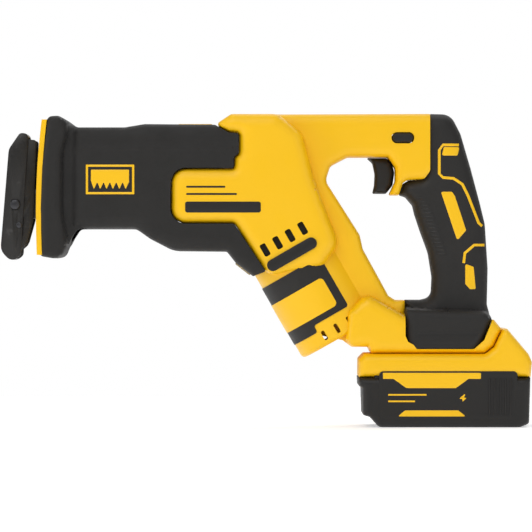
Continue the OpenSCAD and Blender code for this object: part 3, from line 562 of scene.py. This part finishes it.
def on_barrel(arc, along, radius):
    angle = arc / BARREL_R
    across = np.cos(angle)[:, None] * np.array([0, -1, 0]) + np.sin(angle)[:, None] * -nose_way
    return crank_middle + along[:, None] * motor_way + radius[:, None] * across


def constant(value):
    return lambda points, _depth: np.full(len(points), float(value))


# %% [markdown]
# ## Turned shapes and tools for cutting
# The barrel, the screw heads and other round pieces are a profile swept round an axis. Openings
# are cut with an exact boolean, and every modifier is baked, so each piece ends as a plain mesh.

# %% Turning, blocks and cuts
def turned(name, profile, angles, place, material):
    """A closed (radius, along) profile swept over the angles, capped unless it goes all the way."""
    rings, size = len(angles), len(profile)
    whole = abs(angles[-1] - angles[0]) > 6.2
    radius, along = np.array(profile, float).T
    points = np.concatenate([place(np.full(size, a), radius, along) for a in angles]) * MM
    faces = [[i * size + j, i * size + (j + 1) % size, ((i + 1) % rings) * size + (j + 1) % size,
              ((i + 1) % rings) * size + j]
             for i in range(rings if whole else rings - 1) for j in range(size)]
    if not whole:
        faces += [list(range(size)), [(rings - 1) * size + j for j in reversed(range(size))]]
    return outward(mesh_object(name, points, faces, material))


def blocks(name, boxes, bevel, material, frame_of=Matrix.Identity(4)):
    """Boxes given by low and high corners in mm, their edges rounded, as one mesh."""
    data = bmesh.new()
    for low, high in boxes:
        low, high = Vector(low) * MM, Vector(high) * MM
        matrix = frame_of @ Matrix.Translation((low + high) / 2) @ Matrix.Diagonal((*(high - low), 1))
        bmesh.ops.create_cube(data, size=1, matrix=matrix)
    if bevel:
        bmesh.ops.bevel(data, geom=data.edges[:], offset=bevel * MM, segments=3, profile=0.5,
                        affect="EDGES", clamp_overlap=True)
    mesh = bpy.data.meshes.new(name)
    data.to_mesh(mesh)
    data.free()
    mesh.materials.append(material)
    piece = bpy.data.objects.new(name, mesh)
    bpy.context.collection.objects.link(piece)
    for polygon in mesh.polygons:
        polygon.use_smooth = True
    mesh.set_sharp_from_angle(angle=math.radians(50))
    return piece


def baked(piece):
    shown = piece.evaluated_get(bpy.context.evaluated_depsgraph_get())
    data = bpy.data.meshes.new_from_object(shown)
    piece.modifiers.clear()
    piece.data = data
    piece.data.set_sharp_from_angle(angle=SHARP)
    return piece


def cut(piece, *cutters):
    for cutter in cutters:
        before = len(piece.data.polygons)
        modifier = piece.modifiers.new("cut", "BOOLEAN")
        modifier.operation, modifier.solver, modifier.object = "DIFFERENCE", "EXACT", cutter
        baked(piece)
        print("cut", cutter.name, "from", piece.name, before, "->", len(piece.data.polygons), "faces")
        bpy.data.objects.remove(cutter)
    return piece


motor_frame = Matrix([[nose_way[0], 0, motor_way[0], crank_middle[0] * MM], [0, 1, 0, 0],
                      [nose_way[2], 0, motor_way[2], crank_middle[2] * MM], [0, 0, 0, 1]])


def barrel_place(angle, radius, along):
    return on_barrel(angle * BARREL_R, along, radius)


end_round = [(BARREL_R - 3 + 3 * math.cos(a), BARREL_END - 3 + 3 * math.sin(a))
             for a in np.linspace(0, math.pi / 2, 7)]
barrel_profile = [(28.4, 42), (BARREL_R, 42), (BARREL_R, 84)] + end_round + [
    (25, BARREL_END), (24.4, 126.8), (13, 126.8), (12.4, BARREL_END), (0.05, BARREL_END),
    (0.05, 124.5), (28.4, 124.5)]
half_turn = np.linspace(-math.pi / 2 + 0.002, math.pi / 2 - 0.002, 49)
barrel = turned("left_barrel", barrel_profile, half_turn, barrel_place, yellow_plastic)
RAIL_NECK, RAIL_HEAD = [((79, -20.6, 48), (175, 9, 55.5))], [((79, -24, 54.5), (175, 9, 66.5))]
LOCK_OFF_HOLE = [(87.5, 197.1, 3.8), (103.3, 197.1, 3.8), (103.3, 204.9, 3.8), (87.5, 204.9, 3.8)]
lower_slots = [((-s - 1.3, -60, 117), (-s + 1.3, -20, 124)) for s in (-11, -1, 9, 19)]
upper_slots = [((-s - 2.2, -60, 44), (-s + 2.2, -30, 53.2)) for s in (-17, -7, 3, 13)]
cut(barrel, blocks("lower_slots", lower_slots, 1.0, yellow_plastic, motor_frame))
cut(housing, blocks("upper_slots", upper_slots, 1.2, yellow_plastic, motor_frame),
    blocks("openings", [((80, -9.8, 162), (104, 9.8, 188.2))],
           0.6, yellow_plastic),
    relief("button_hole", LOCK_OFF_HOLE, constant(60), constant(-9), yellow_plastic),
    blocks("rail_neck", RAIL_NECK, 0, yellow_plastic),
    blocks("rail_head", RAIL_HEAD, 0, yellow_plastic))
# Painted shade: a near-black sheet just inside the upper vent slots, so the openings read dark as shade.
vent_backing = blocks("vent_backing", [((-17.5, -32.6, 42.5), (22, -31.4, 55))], 0.4, vent_shadow,
                      motor_frame)


# %% [markdown]
# ## Nose boot and its rim
# The boot is a rubber moulding pulled over the gear case. It has three masses: the case, a
# waist, and a flange that flares out behind the shoe. The yellow rim strip follows the flange's
# curved front. Both are open in front, where the plunger comes out. A saw-tooth strip made by a
# loop stands where a maker would put a name.

# %% Boot
BOOT = [(-156, 118.6, 2), (-147.5, 117.1, 5), (-141, 118, 6), (-134.5, 131.3, 8), (-130.5, 137.6, 4),
        (-90, 137.6, 10), (-80, 130.5, 14), (-64, 122.2, 16), (-27, 121.8, 3), (-21.2, 114.4, 2),
        (-8.8, 104.6, 1), (0, 108, 1), (-22, 141.2, 2), (-66, 141.2, 10.5), (-66, 179.9, 10.5),
        (-22.2, 179.9, 1.5), (-22.2, 187, 1.5), (-18.8, 190.5, 2), (-18.8, 203.7, 2),
        (-25.8, 204.2, 3), (-35.2, 209.8, 2), (-84, 210.3, 8), (-98, 208, 8), (-131, 208, 5),
        (-137, 212.5, 5), (-143.5, 216, 5), (-150, 215.6, 4), (-152, 212.5, 2), (-153.2, 203, 10),
        (-155.8, 180, 30), (-156.8, 152, 30), (-156, 131, 20)]
CASE = [(-135, 131, 3), (-130.5, 137.6, 4), (-90, 137.6, 10), (-80, 130.5, 14), (-64, 122.2, 16),
        (-27, 121.8, 3), (-21.2, 114.4, 2), (-8.8, 104.6, 1), (30, 104, 1), (30, 214, 1),
        (-30, 210, 2), (-84, 210.3, 8), (-98, 208, 8), (-134, 208, 5)]
NECK = [(-150, 128, 5), (-140, 124, 5), (-124, 134, 5), (-118, 150, 5), (-118, 195, 5),
        (-128, 208, 5), (-145, 212, 5), (-150, 205, 5)]
FLANGE = [(-156, 118.6, 2), (-147.5, 117.1, 5), (-141, 118, 6), (-137.5, 128, 6), (-141, 150, 20),
          (-141, 190, 20), (-137.5, 205, 6), (-138, 212.5, 4), (-143.5, 216, 5), (-150, 215.6, 4),
          (-152, 212.5, 2), (-153.2, 203, 10), (-155.8, 180, 30), (-156.8, 152, 30), (-156, 131, 20)]

boot_masses = [Mass(CASE, 35.5, 28, 10, 0.6), Mass(NECK, 31.5, 24, 9), Mass(FLANGE, 38, 33, 5)]
boot_height = highest(boot_masses)


def grooved(points, depth, shrink=0.0):
    """The boot's height with a raised bead along its top, drawn as a soft bump in Z."""
    bead = 0.7 * np.exp(-((points[:, 1] - 193.4) / 0.9) ** 2) * (np.abs(points[:, 0] + 76) < 53)
    return boot_height(points, depth, shrink) + bead


bead_lines = [np.array([(x, 193.4 + d) for x in np.arange(-129, -22, 2.4)])
              for d in (-1.4, -0.6, 0, 0.6, 1.4)]
boot = relief("left_boot", BOOT, grooved, hollow(boot_height, 3), black_rubber,
              creases=bead_lines + [line for mass in boot_masses for line in mass.creases()])
MOUTH = [((-172, -24, 138), (-149, 24, 201))]
cut(boot, blocks("mouth", MOUTH, 8, black_rubber))


def rim_front(z):
    return -156.95 + 0.00125 * (z - 148) ** 2 * (0.75 if z > 148 else 0.6)


rim_rows = np.linspace(119.5, 213.25, 26)
RIM = [(rim_front(z) + 1.4, z, 0) for z in rim_rows] + [(rim_front(z) - 2.1, z, 0) for z in rim_rows[::-1]]
rim = relief("left_rim", RIM, constant(36.4), constant(SEAM), yellow_plastic, rows=(0.4,))
cut(rim, blocks("mouth", MOUTH, 8, yellow_plastic))


def plate(name, outline, base, low, high, material, step=GRID):
    """A thin inlay that follows the surface under it, with a softened edge."""
    def top(points, depth):
        return base(points, depth) + high - 0.25 * (1 - np.clip(depth / 0.5, 0, 1)) ** 2
    return relief(name, outline, top, lambda points, depth: base(points, depth) + low, material,
                  rows=(0.25, 0.6), step=step)


teeth = [(-121, 178.5, 0.5), (-121, 171, 0.5)]
for tooth in range(6):
    teeth += [(-119 + 4.4 * tooth, 165, 0.3), (-116.6 + 4.4 * tooth, 170, 0.4)]
teeth += [(-94.6, 171, 0.5), (-94.6, 178.5, 0.5)]
frame_low, frame_high = (-124.5, 161.5), (-91, 182)
bars = [[(frame_low[0], z, 0.4), (frame_high[0], z, 0.4), (frame_high[0], z + 1.5, 0.4),
         (frame_low[0], z + 1.5, 0.4)] for z in (frame_low[1], frame_high[1] - 1.5)]
bars += [[(x, frame_low[1], 0.4), (x + 1.5, frame_low[1], 0.4), (x + 1.5, frame_high[1], 0.4),
          (x, frame_high[1], 0.4)] for x in (frame_low[0], frame_high[0] - 1.5)]
motif = [plate("left_motif", shape, boot_height, -0.6, 0.35 + 0.02 * i, yellow_plastic, 1.8)
         for i, shape in enumerate([teeth] + bars)]
print("boot:", len(boot.data.polygons), "faces; rim:", len(rim.data.polygons))


# %% [markdown]
# ## Grips
# The rear handle is overmoulded in soft black plastic. Its cross-section is nearly round, so its
# mass has a large radius. Thin yellow inlays and a row of ribs follow the surface. A short wide
# foot carries the handle down to the battery.

# %% Grips
GRIP = [(97, 62, 3), (104.5, 54.6, 2), (144, 54.6, 3), (151, 60.5, 4), (157, 75.2, 2), (154.4, 85, 6),
        (155, 110, 30), (153, 141, 20), (149.5, 155.5, 30), (143, 180, 40), (136, 204, 14),
        (129, 217.6, 10), (114.8, 217.9, 0.5), (114.8, 177.8, 4), (110.4, 171.9, 4), (99.2, 171.3, 2),
        (95.9, 169.3, 2), (93.2, 161.2, 1), (97.5, 160, 4), (102.6, 154, 4), (104, 148, 10),
        (108, 136, 20), (113.5, 121, 20), (116.2, 104, 14), (115.5, 90, 6), (108, 88.2, 4),
        (97.15, 88.2, 0.5)]
GRIP_MASS = GRIP[:12] + [(104, 218.2, 1), (104, 182, 1), (110, 174, 2)] + GRIP[15:]
BLOCK = [(97, 50, 1), (144, 50, 1), (151, 60.5, 4), (157, 75.2, 2), (152, 80, 3), (97.15, 82, 1)]
grip_masses = [Mass(GRIP_MASS, 18.5, 7.5, 12, 0.2), Mass(BLOCK, 33.5, 28, 6)]
grip_height = highest(grip_masses)
grip = relief("left_grip", GRIP, grip_height, hollow(grip_height, 2), soft_grip,
              creases=[line for mass in grip_masses for line in mass.creases()])
cut(grip, blocks("rail_neck", RAIL_NECK, 0, soft_grip),
    blocks("rail_head", RAIL_HEAD, 0, soft_grip))


def ribbon(path, width):
    """The outline of a strip along an open path."""
    path = np.array(path, float)
    way = np.gradient(path, axis=0)
    side = np.stack([-way[:, 1], way[:, 0]], 1) / np.linalg.norm(way, axis=1)[:, None] * width / 2
    return [(*p, 0.3) for p in path - side] + [(*p, 0.3) for p in (path + side)[::-1]]


def joined(name, pieces):
    whole = bmesh.new()
    for piece in pieces:
        whole.from_mesh(piece.data)
    first = pieces[0]
    whole.to_mesh(first.data)
    whole.free()
    for piece in pieces[1:]:
        bpy.data.objects.remove(piece)
    first.name = name
    return first


motif = joined("left_motif", motif)
upper_line = [(134.6, 196.1), (123.4, 196.1), (120.8, 192.5), (120.8, 176), (123.4, 173.4), (130.7, 172.8),
              (136.9, 168.7), (141, 160.4), (148.3, 141.8), (150.8, 139.6)]
lower_line = [(152.5, 126.4), (145.2, 126.4), (138.6, 120.8), (137.8, 113.8)]
inlay_shapes = [ribbon(upper_line, 1.9), ribbon(lower_line, 1.9),
                [(121.9, 163.5, 1), (129.6, 163.5, 1), (131.7, 160.4, 1), (139.5, 136.6, 1),
                 (133.3, 129.6, 1)],
                [(138.9, 113.3, 1), (144.7, 111.2, 1), (146.2, 95.7, 1), (142.1, 95.7, 1),
                 (138.9, 99.3, 1)]]
inlay_shapes = [shape if sum(a[0] * b[1] - b[0] * a[1] for a, b in zip(shape, shape[1:] + shape[:1])) > 0
                else shape[::-1] for shape in inlay_shapes]
inlays = joined("left_inlays", [plate("inlay", shape, grip_height, -0.8, 0.25, yellow_plastic, 1.6)
                                for shape in inlay_shapes])
tag = plate("left_tag", [(122.6, 188.7, 1), (133.5, 188.7, 1), (135, 194.6, 1), (124, 194.6, 1)],
            grip_height, -0.8, 0.3, yellow_plastic, 1.6)


def grip_front(z):
    return float(np.interp(z, [88, 104, 121, 136, 148, 160], [116, 116, 113.5, 108, 104, 98]))


rib_shapes = [[(grip_front(z) + 4, z - 0.6, 0.3), (grip_front(z) + 13, z - 0.6, 0.3),
               (grip_front(z) + 13, z + 0.6, 0.3), (grip_front(z) + 4, z + 0.6, 0.3)]
              for z in np.arange(120, 160, 2.6)]
grip_ribs = joined("left_grip_ribs", [plate("rib", shape, grip_height, -0.6, 0.35, black_plastic, 1.5)
                                      for shape in rib_shapes])
foot_frame = plate("left_foot_frame", [(104.5, 57.2, 2), (146, 57.2, 2), (149, 65.5, 2), (104.5, 65.5, 2)],
                   grip_height, -0.6, 0.3, black_plastic)
print("grip:", len(grip.data.polygons), "faces;", len(rib_shapes), "ribs a side")


# %% [markdown]
# ## Motor band, panel and badges
# A soft band wraps the barrel, with a yellow insert in it. Both are the same relief laid on the
# cylinder, a little further out. The badge bar is a plain rounded strip with two thin lines over
# it, so it reads as a nameplate without a name.

# %% Bands and badges
band = relief("left_band", [(-49.8, 71, 1), (13.9, 71, 2), (13.9, 111, 2), (-14.5, 111, 2),
                            (-14.5, 116.3, 2), (-49.8, 116.3, 1)], constant(32.45), constant(31.6),
              soft_grip, rows=(0.4, 1), place=on_barrel)
panel = relief("left_panel", [(-49.8, 84.5, 1), (7.6, 84.5, 3), (7.6, 106.5, 3), (-49.8, 106.5, 1)],
               constant(32.75), constant(32.2), yellow_plastic, rows=(0.4, 1), place=on_barrel)
badge_shapes = [[(-55.8, 148.8, 1.6), (-3.4, 148.8, 1.6), (-3.4, 156.4, 1.6), (-55.8, 156.4, 1.6)],
                [(-55, 161, 0.5), (-20, 161, 0.5), (-20, 162.3, 0.5), (-55, 162.3, 0.5)],
                [(-55, 166, 0.5), (-28, 166, 0.5), (-28, 167.3, 0.5), (-55, 167.3, 0.5)]]
badges = joined("left_badges", [plate("badge", shape, housing_height, -0.4, 0.4, black_plastic)
                                for shape in badge_shapes])
print("band, panel and", len(badge_shapes), "badge strips")


# %% [markdown]
# ## Trigger and battery
# These are closed mouldings: the same height goes out on both sides. The battery's two halves
# meet at a seam, and its rails are a T that slides into the foot. Its label keeps the shapes of a
# label and drops the words.

# %% Closed mouldings
TRIGGER = [(74.5, 162.3, 1), (84, 162.2, 2), (88.6, 168, 4), (89.9, 177, 6), (88, 184.5, 3),
           (84, 187.2, 1), (70.4, 187.2, 0.5), (74.6, 183.6, 4), (76.2, 176, 10), (75.8, 168, 6)]
UPPER_PACK = [(183.6, 34.9, 0.5), (184.6, 45, 2), (182.2, 50.8, 3), (167.3, 68.4, 1), (164.2, 68, 1.5),
              (158.3, 55.7, 3), (152.2, 51, 5), (68.6, 51, 1.5), (64.7, 47, 2), (64.6, 34.9, 0.5)]
LOWER_PACK = [(64.3, 34.7, 0.5), (64.6, 28.8, 1), (66.9, 27.2, 1), (67.3, 8.6, 1.5), (72, 7.2, 1.5),
              (78.5, 0, 5), (176, 0, 4), (182.6, 2.6, 2.5), (183.4, 34.7, 0.5)]


def closed(name, outline, mass, material, step=GRID):
    def height(points, _depth):
        return mass.height(points)
    return relief(name, outline, height, lambda points, _depth: -mass.height(points), material,
                  creases=mass.creases(), step=step)


trigger = closed("trigger_moulding", TRIGGER, Mass(TRIGGER, 9.2, 5, 4), black_plastic, 1.6)
LOCK_OFF = [(87.9, 197.5, 3.4), (102.9, 197.5, 3.4), (102.9, 204.5, 3.4), (87.9, 204.5, 3.4)]
lock_off_mass = Mass(LOCK_OFF, 22.3, 20.8, 1.8)
lock_off = relief("lock_off", LOCK_OFF, lambda points, _depth: lock_off_mass.height(points),
                  lambda points, _depth: -lock_off_mass.height(points) - 3, black_plastic,
                  creases=lock_off_mass.creases(1.2), step=1.4)
upper_mass, lower_mass = Mass(UPPER_PACK, 37.2, 31, 6), Mass(LOWER_PACK, 37.2, 32, 5)
upper_pack = closed("upper_pack", UPPER_PACK, upper_mass, yellow_plastic)
lower_pack = closed("lower_pack", LOWER_PACK, lower_mass, black_plastic)
rails = blocks("pack_rails", [((80, -20, 50), (166, 20, 55.2)), ((80, -23.5, 54.8), (166, 23.5, 64.5))],
               0.8, black_plastic)
flat_pack = constant(37.2)
side_panel = plate("left_side_panel", [(78.5, 5.5, 3), (172, 5.5, 3), (174.5, 39, 3), (78.5, 39, 3)],
                   flat_pack, -1.2, 0.35, black_plastic)
label_shapes = {
    "band": [(81, 33.6, 0.6), (88.3, 33.6, 1), (97.3, 27.2, 1), (131.6, 27.2, 1), (140.4, 33.6, 1),
             (149, 33.6, 0.6), (149, 38, 0.8), (81, 38, 0.8)],
    "wedge": [(91, 7.6, 0.6), (138.8, 7.6, 0.6), (133.4, 12, 0.8), (96.4, 12, 0.8)],
    "line_a": [(84, 22, 0.4), (112, 22, 0.4), (112, 23.4, 0.4), (84, 23.4, 0.4)],
    "line_b": [(84, 17.5, 0.4), (104, 17.5, 0.4), (104, 18.9, 0.4), (84, 18.9, 0.4)],
    "bolt": [(134, 15.6, 0.2), (139.4, 20.6, 0.2), (137.2, 20.9, 0.2), (140, 25.4, 0.2), (133.6, 20, 0.2),
             (136, 19.6, 0.2)]}
label = joined("left_label", [plate(name, shape, flat_pack, 0.1, 0.55, yellow_plastic, 1.8)
                              for name, shape in label_shapes.items()])
print("closed mouldings:", trigger.name, upper_pack.name, lower_pack.name)


# %% [markdown]
# ## Copies by Geometry Nodes
# Screw heads and ribs are one template repeated. A small node tree puts the template on each
# point of a host mesh, turns it as an attribute says, spins each copy by a random angle with a
# fixed seed, makes the copies real and gives them their material.

# %% Copies at points
def copies_tree():
    tree = bpy.data.node_groups.new("copies_at_points", "GeometryNodeTree")
    tree.interface.new_socket("Geometry", in_out="INPUT", socket_type="NodeSocketGeometry")
    for name, kind in (("Template", "Object"), ("Size", "Float"), ("Spin", "Float"),
                       ("Material", "Material")):
        tree.interface.new_socket(name, in_out="INPUT", socket_type="NodeSocket" + kind)
    tree.interface.new_socket("Geometry", in_out="OUTPUT", socket_type="NodeSocketGeometry")
    kinds = dict(source="NodeGroupInput", template="GeometryNodeObjectInfo",
                 spread="GeometryNodeInstanceOnPoints",
                 turn="GeometryNodeInputNamedAttribute", angle="FunctionNodeRandomValue",
                 axis="ShaderNodeCombineXYZ", spin="GeometryNodeRotateInstances",
                 real="GeometryNodeRealizeInstances", paint="GeometryNodeSetMaterial",
                 result="NodeGroupOutput")
    made = {key: tree.nodes.new(kind) for key, kind in kinds.items()}
    made["turn"].data_type = "FLOAT_VECTOR"
    made["turn"].inputs["Name"].default_value = "turn"
    made["angle"].data_type = "FLOAT"
    made["angle"].inputs["Seed"].default_value = 7
    links = [("source", "Geometry", "spread", "Points"), ("source", "Template", "template", "Object"),
             ("template", "Geometry", "spread", "Instance"), ("source", "Size", "spread", "Scale"),
             ("turn", "Attribute", "spread", "Rotation"), ("source", "Spin", "angle", 3),
             ("angle", 1, "axis", "Y"), ("axis", "Vector", "spin", "Rotation"),
             ("spread", "Instances", "spin", "Instances"), ("spin", "Instances", "real", "Geometry"),
             ("real", "Geometry", "paint", "Geometry"), ("source", "Material", "paint", "Material"),
             ("paint", "Geometry", "result", "Geometry")]
    for a, out, b, into in links:
        tree.links.new(made[a].outputs[out], made[b].inputs[into])
    return tree


copies_at_points = copies_tree()


def copies(name, template, places, turns, material, spin=0.0, size=1.0):
    mesh = bpy.data.meshes.new(name)
    mesh.from_pydata([Vector(p) * MM for p in places], [], [])
    mesh.attributes.new("turn", "FLOAT_VECTOR", "POINT").data.foreach_set(
        "vector", np.array(turns, float).ravel())
    piece = bpy.data.objects.new(name, mesh)
    bpy.context.collection.objects.link(piece)
    modifier = piece.modifiers.new("copies", "NODES")
    values = {"Template": template, "Size": size, "Spin": spin, "Material": material}
    modifier.node_group = copies_at_points
    for item in copies_at_points.interface.items_tree:
        if item.in_out == "INPUT" and item.name in values:
            modifier[item.identifier] = values[item.name]
    baked(piece)
    print(name + ":", len(places), "copies,", len(piece.data.polygons), "faces")
    return piece


def head_place(angle, radius, along):
    lobes = np.where(radius < 1.9, 1 + 0.16 * np.cos(6 * angle), 1)
    return np.stack([radius * lobes * np.cos(angle), -along, radius * lobes * np.sin(angle)], 1)


head_profile = [(0.02, -0.9), (1.5, -0.9), (1.7, 0.3), (2.5, 0.42), (3.1, 0.15), (3.4, -0.4), (3.4, -1.4),
                (0.02, -1.4)]
head = turned("screw_head", head_profile, np.linspace(0, 2 * math.pi, 37)[:-1], head_place, screw_steel)
screws = [(-12, 210.2), (36, 205), (82, 205), (30, 160), (70, 104), (69, 75), (124, 196), (140, 150),
          (140, 100)]
spots = np.array(screws, float)
heights = np.maximum(housing_height(spots, None), grip_height(spots, None))
screw_heads = copies("screw_heads", head, [(x, h + 0.1, z) for (x, z), h in zip(screws, heights)],
                     [(0, 0, math.pi)] * len(screws), screw_steel, spin=6.28)
bar = blocks("pack_rib", [((-0.7, -0.6, -13), (0.7, 0.6, 13))], 0.4, black_plastic)
rib_x = np.linspace(155, 169.6, 5)
pack_ribs = copies("pack_ribs", bar, [(x, side * 37.6, 21) for x in rib_x for side in (-1, 1)],
                   [(0, 0, 0)] * 10, black_plastic)
for template in (head, bar):
    bpy.data.objects.remove(template)


# %% [markdown]
# ## Pieces that keep their engineering shape
# The shoe, clamp and buttons are already right in shape, but their edges are knife-sharp. A
# copy with its flat faces merged and its edges bevelled catches the light as a made part does.

# %% Softened pieces
def softened(node, width, material):
    piece = frame["nodes"][node].copy()
    piece.parent = None
    piece.data = piece.data.copy()
    piece.name = "soft_" + node
    bpy.context.collection.objects.link(piece)
    piece.data.materials.clear()
    piece.data.materials.append(material)
    work = bmesh.new()
    work.from_mesh(piece.data)
    bmesh.ops.remove_doubles(work, verts=work.verts, dist=2e-6)
    bmesh.ops.dissolve_limit(work, angle_limit=math.radians(1), verts=work.verts, edges=work.edges)
    for face in work.faces:
        face.smooth = True
        face.material_index = 0
    work.to_mesh(piece.data)
    work.free()
    bevel = piece.modifiers.new("edges", "BEVEL")
    bevel.width, bevel.segments, bevel.limit_method = width * MM, 2, "ANGLE"
    bevel.angle_limit = math.radians(40)
    return baked(piece)


def add(piece, body, *nodes):
    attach(piece, body)
    if nodes:
        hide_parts(*nodes)


SOFT = {"shoe": (0.5, black_steel), "shoe_bracket": (0.3, black_steel), "shoe_post": (0.6, black_steel),
        "shoe_rivets": (0.3, screw_steel), "blade_clamp": (0.4, ground_steel),
        "clamp_collar": (0.5, black_plastic), "pack_latch": (0.9, black_plastic),
        "gauge_button": (0.6, black_plastic),
        "work_light_lens": (0.8, light_lens), "top_plate": (0.2, yellow_plastic),
        "vent_bars": (0.4, black_plastic)}
for node, (width, material) in SOFT.items():
    add(softened(node, width, material), body_of(frame["nodes"][node])[0], node)
print("softened:", len(SOFT), "pieces")


# %% [markdown]
# ## Finishes for what stays, and who moves with what
# The parts inside keep their engineering meshes and get the finish of what they are made of.
# Each new piece rides on the body it belongs to and stands in for the node under it.

# %% Finish and assemble
KEPT = {ground_steel: ["plunger", "clamp_pin", "crank_shaft", "motor_shaft", "motor_pinion", "crank_gear"],
        cast_aluminium: ["gear_case", "gear_case_cover", "motor_end_plate", "control_module"],
        screw_steel: ["gear_case_screws", "pack_screws", "trigger_spring", "crank_roller", "crank_bearings",
                      "motor_front_bearing", "motor_rear_bearing", "crank_counterweight"],
        bronze: ["front_bushing", "rear_bushing"], black_rubber: ["plunger_seal"],
        black_steel: ["stator_core", "rotor_core"], copper: ["stator_windings", "pack_contacts"],
        black_plastic: ["switch_module", "terminal_block", "cooling_fan", "pack_cell_holder"],
        circuit_board: ["work_light_board"], cell_wrap: ["pack_cells"]}
for material, nodes in KEPT.items():
    for node in nodes:
        kept = frame["nodes"][node]
        kept.data.materials.clear()
        kept.data.materials.append(material)

PAIRS = [(housing, "shell"), (barrel, ""), (boot, ""), (rim, ""), (motif, ""), (grip, "grip"), (inlays, ""),
         (tag, ""), (grip_ribs, ""), (foot_frame, ""), (band, "motor_band"), (panel, "motor_panel"),
         (badges, "")]
for piece, node in PAIRS:
    twin = mirrored(piece, piece.name.replace("left", "right"))
    add(piece, "housing", *(["left_" + node] if node else []))
    add(twin, "housing", *(["right_" + node] if node else []))
for piece, node in ((boot, "nose_boot"), (rim, "nose_rim"), (badges, "side_badges")):
    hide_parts(node)
for piece in (side_panel, label):
    twin = mirrored(piece, piece.name.replace("left", "right"))
    add(twin, "battery")
add(side_panel, "battery", "pack_labels")
add(label, "battery")
# The painted-shade sheets behind the vent slots ride with the housing.
add(mirrored(vent_backing, "right_vent_backing"), "housing")
add(vent_backing, "housing")
add(screw_heads, "housing", "housing_screws")
add(trigger, "trigger_body", "trigger")
add(lock_off, body_of(frame["nodes"]["lock_off_button"])[0], "lock_off_button")
add(upper_pack, "battery", "pack_upper_case")
add(lower_pack, "battery", "pack_lower_case")
add(rails, "battery")
add(pack_ribs, "battery")

replaced = {n for n, o in frame["nodes"].items() if o.hide_render}
bare = [n for n in rest_names if n not in replaced and not any(n in names for names in KEPT.values())]
print("nodes with their own mesh shown and no finish:", bare)
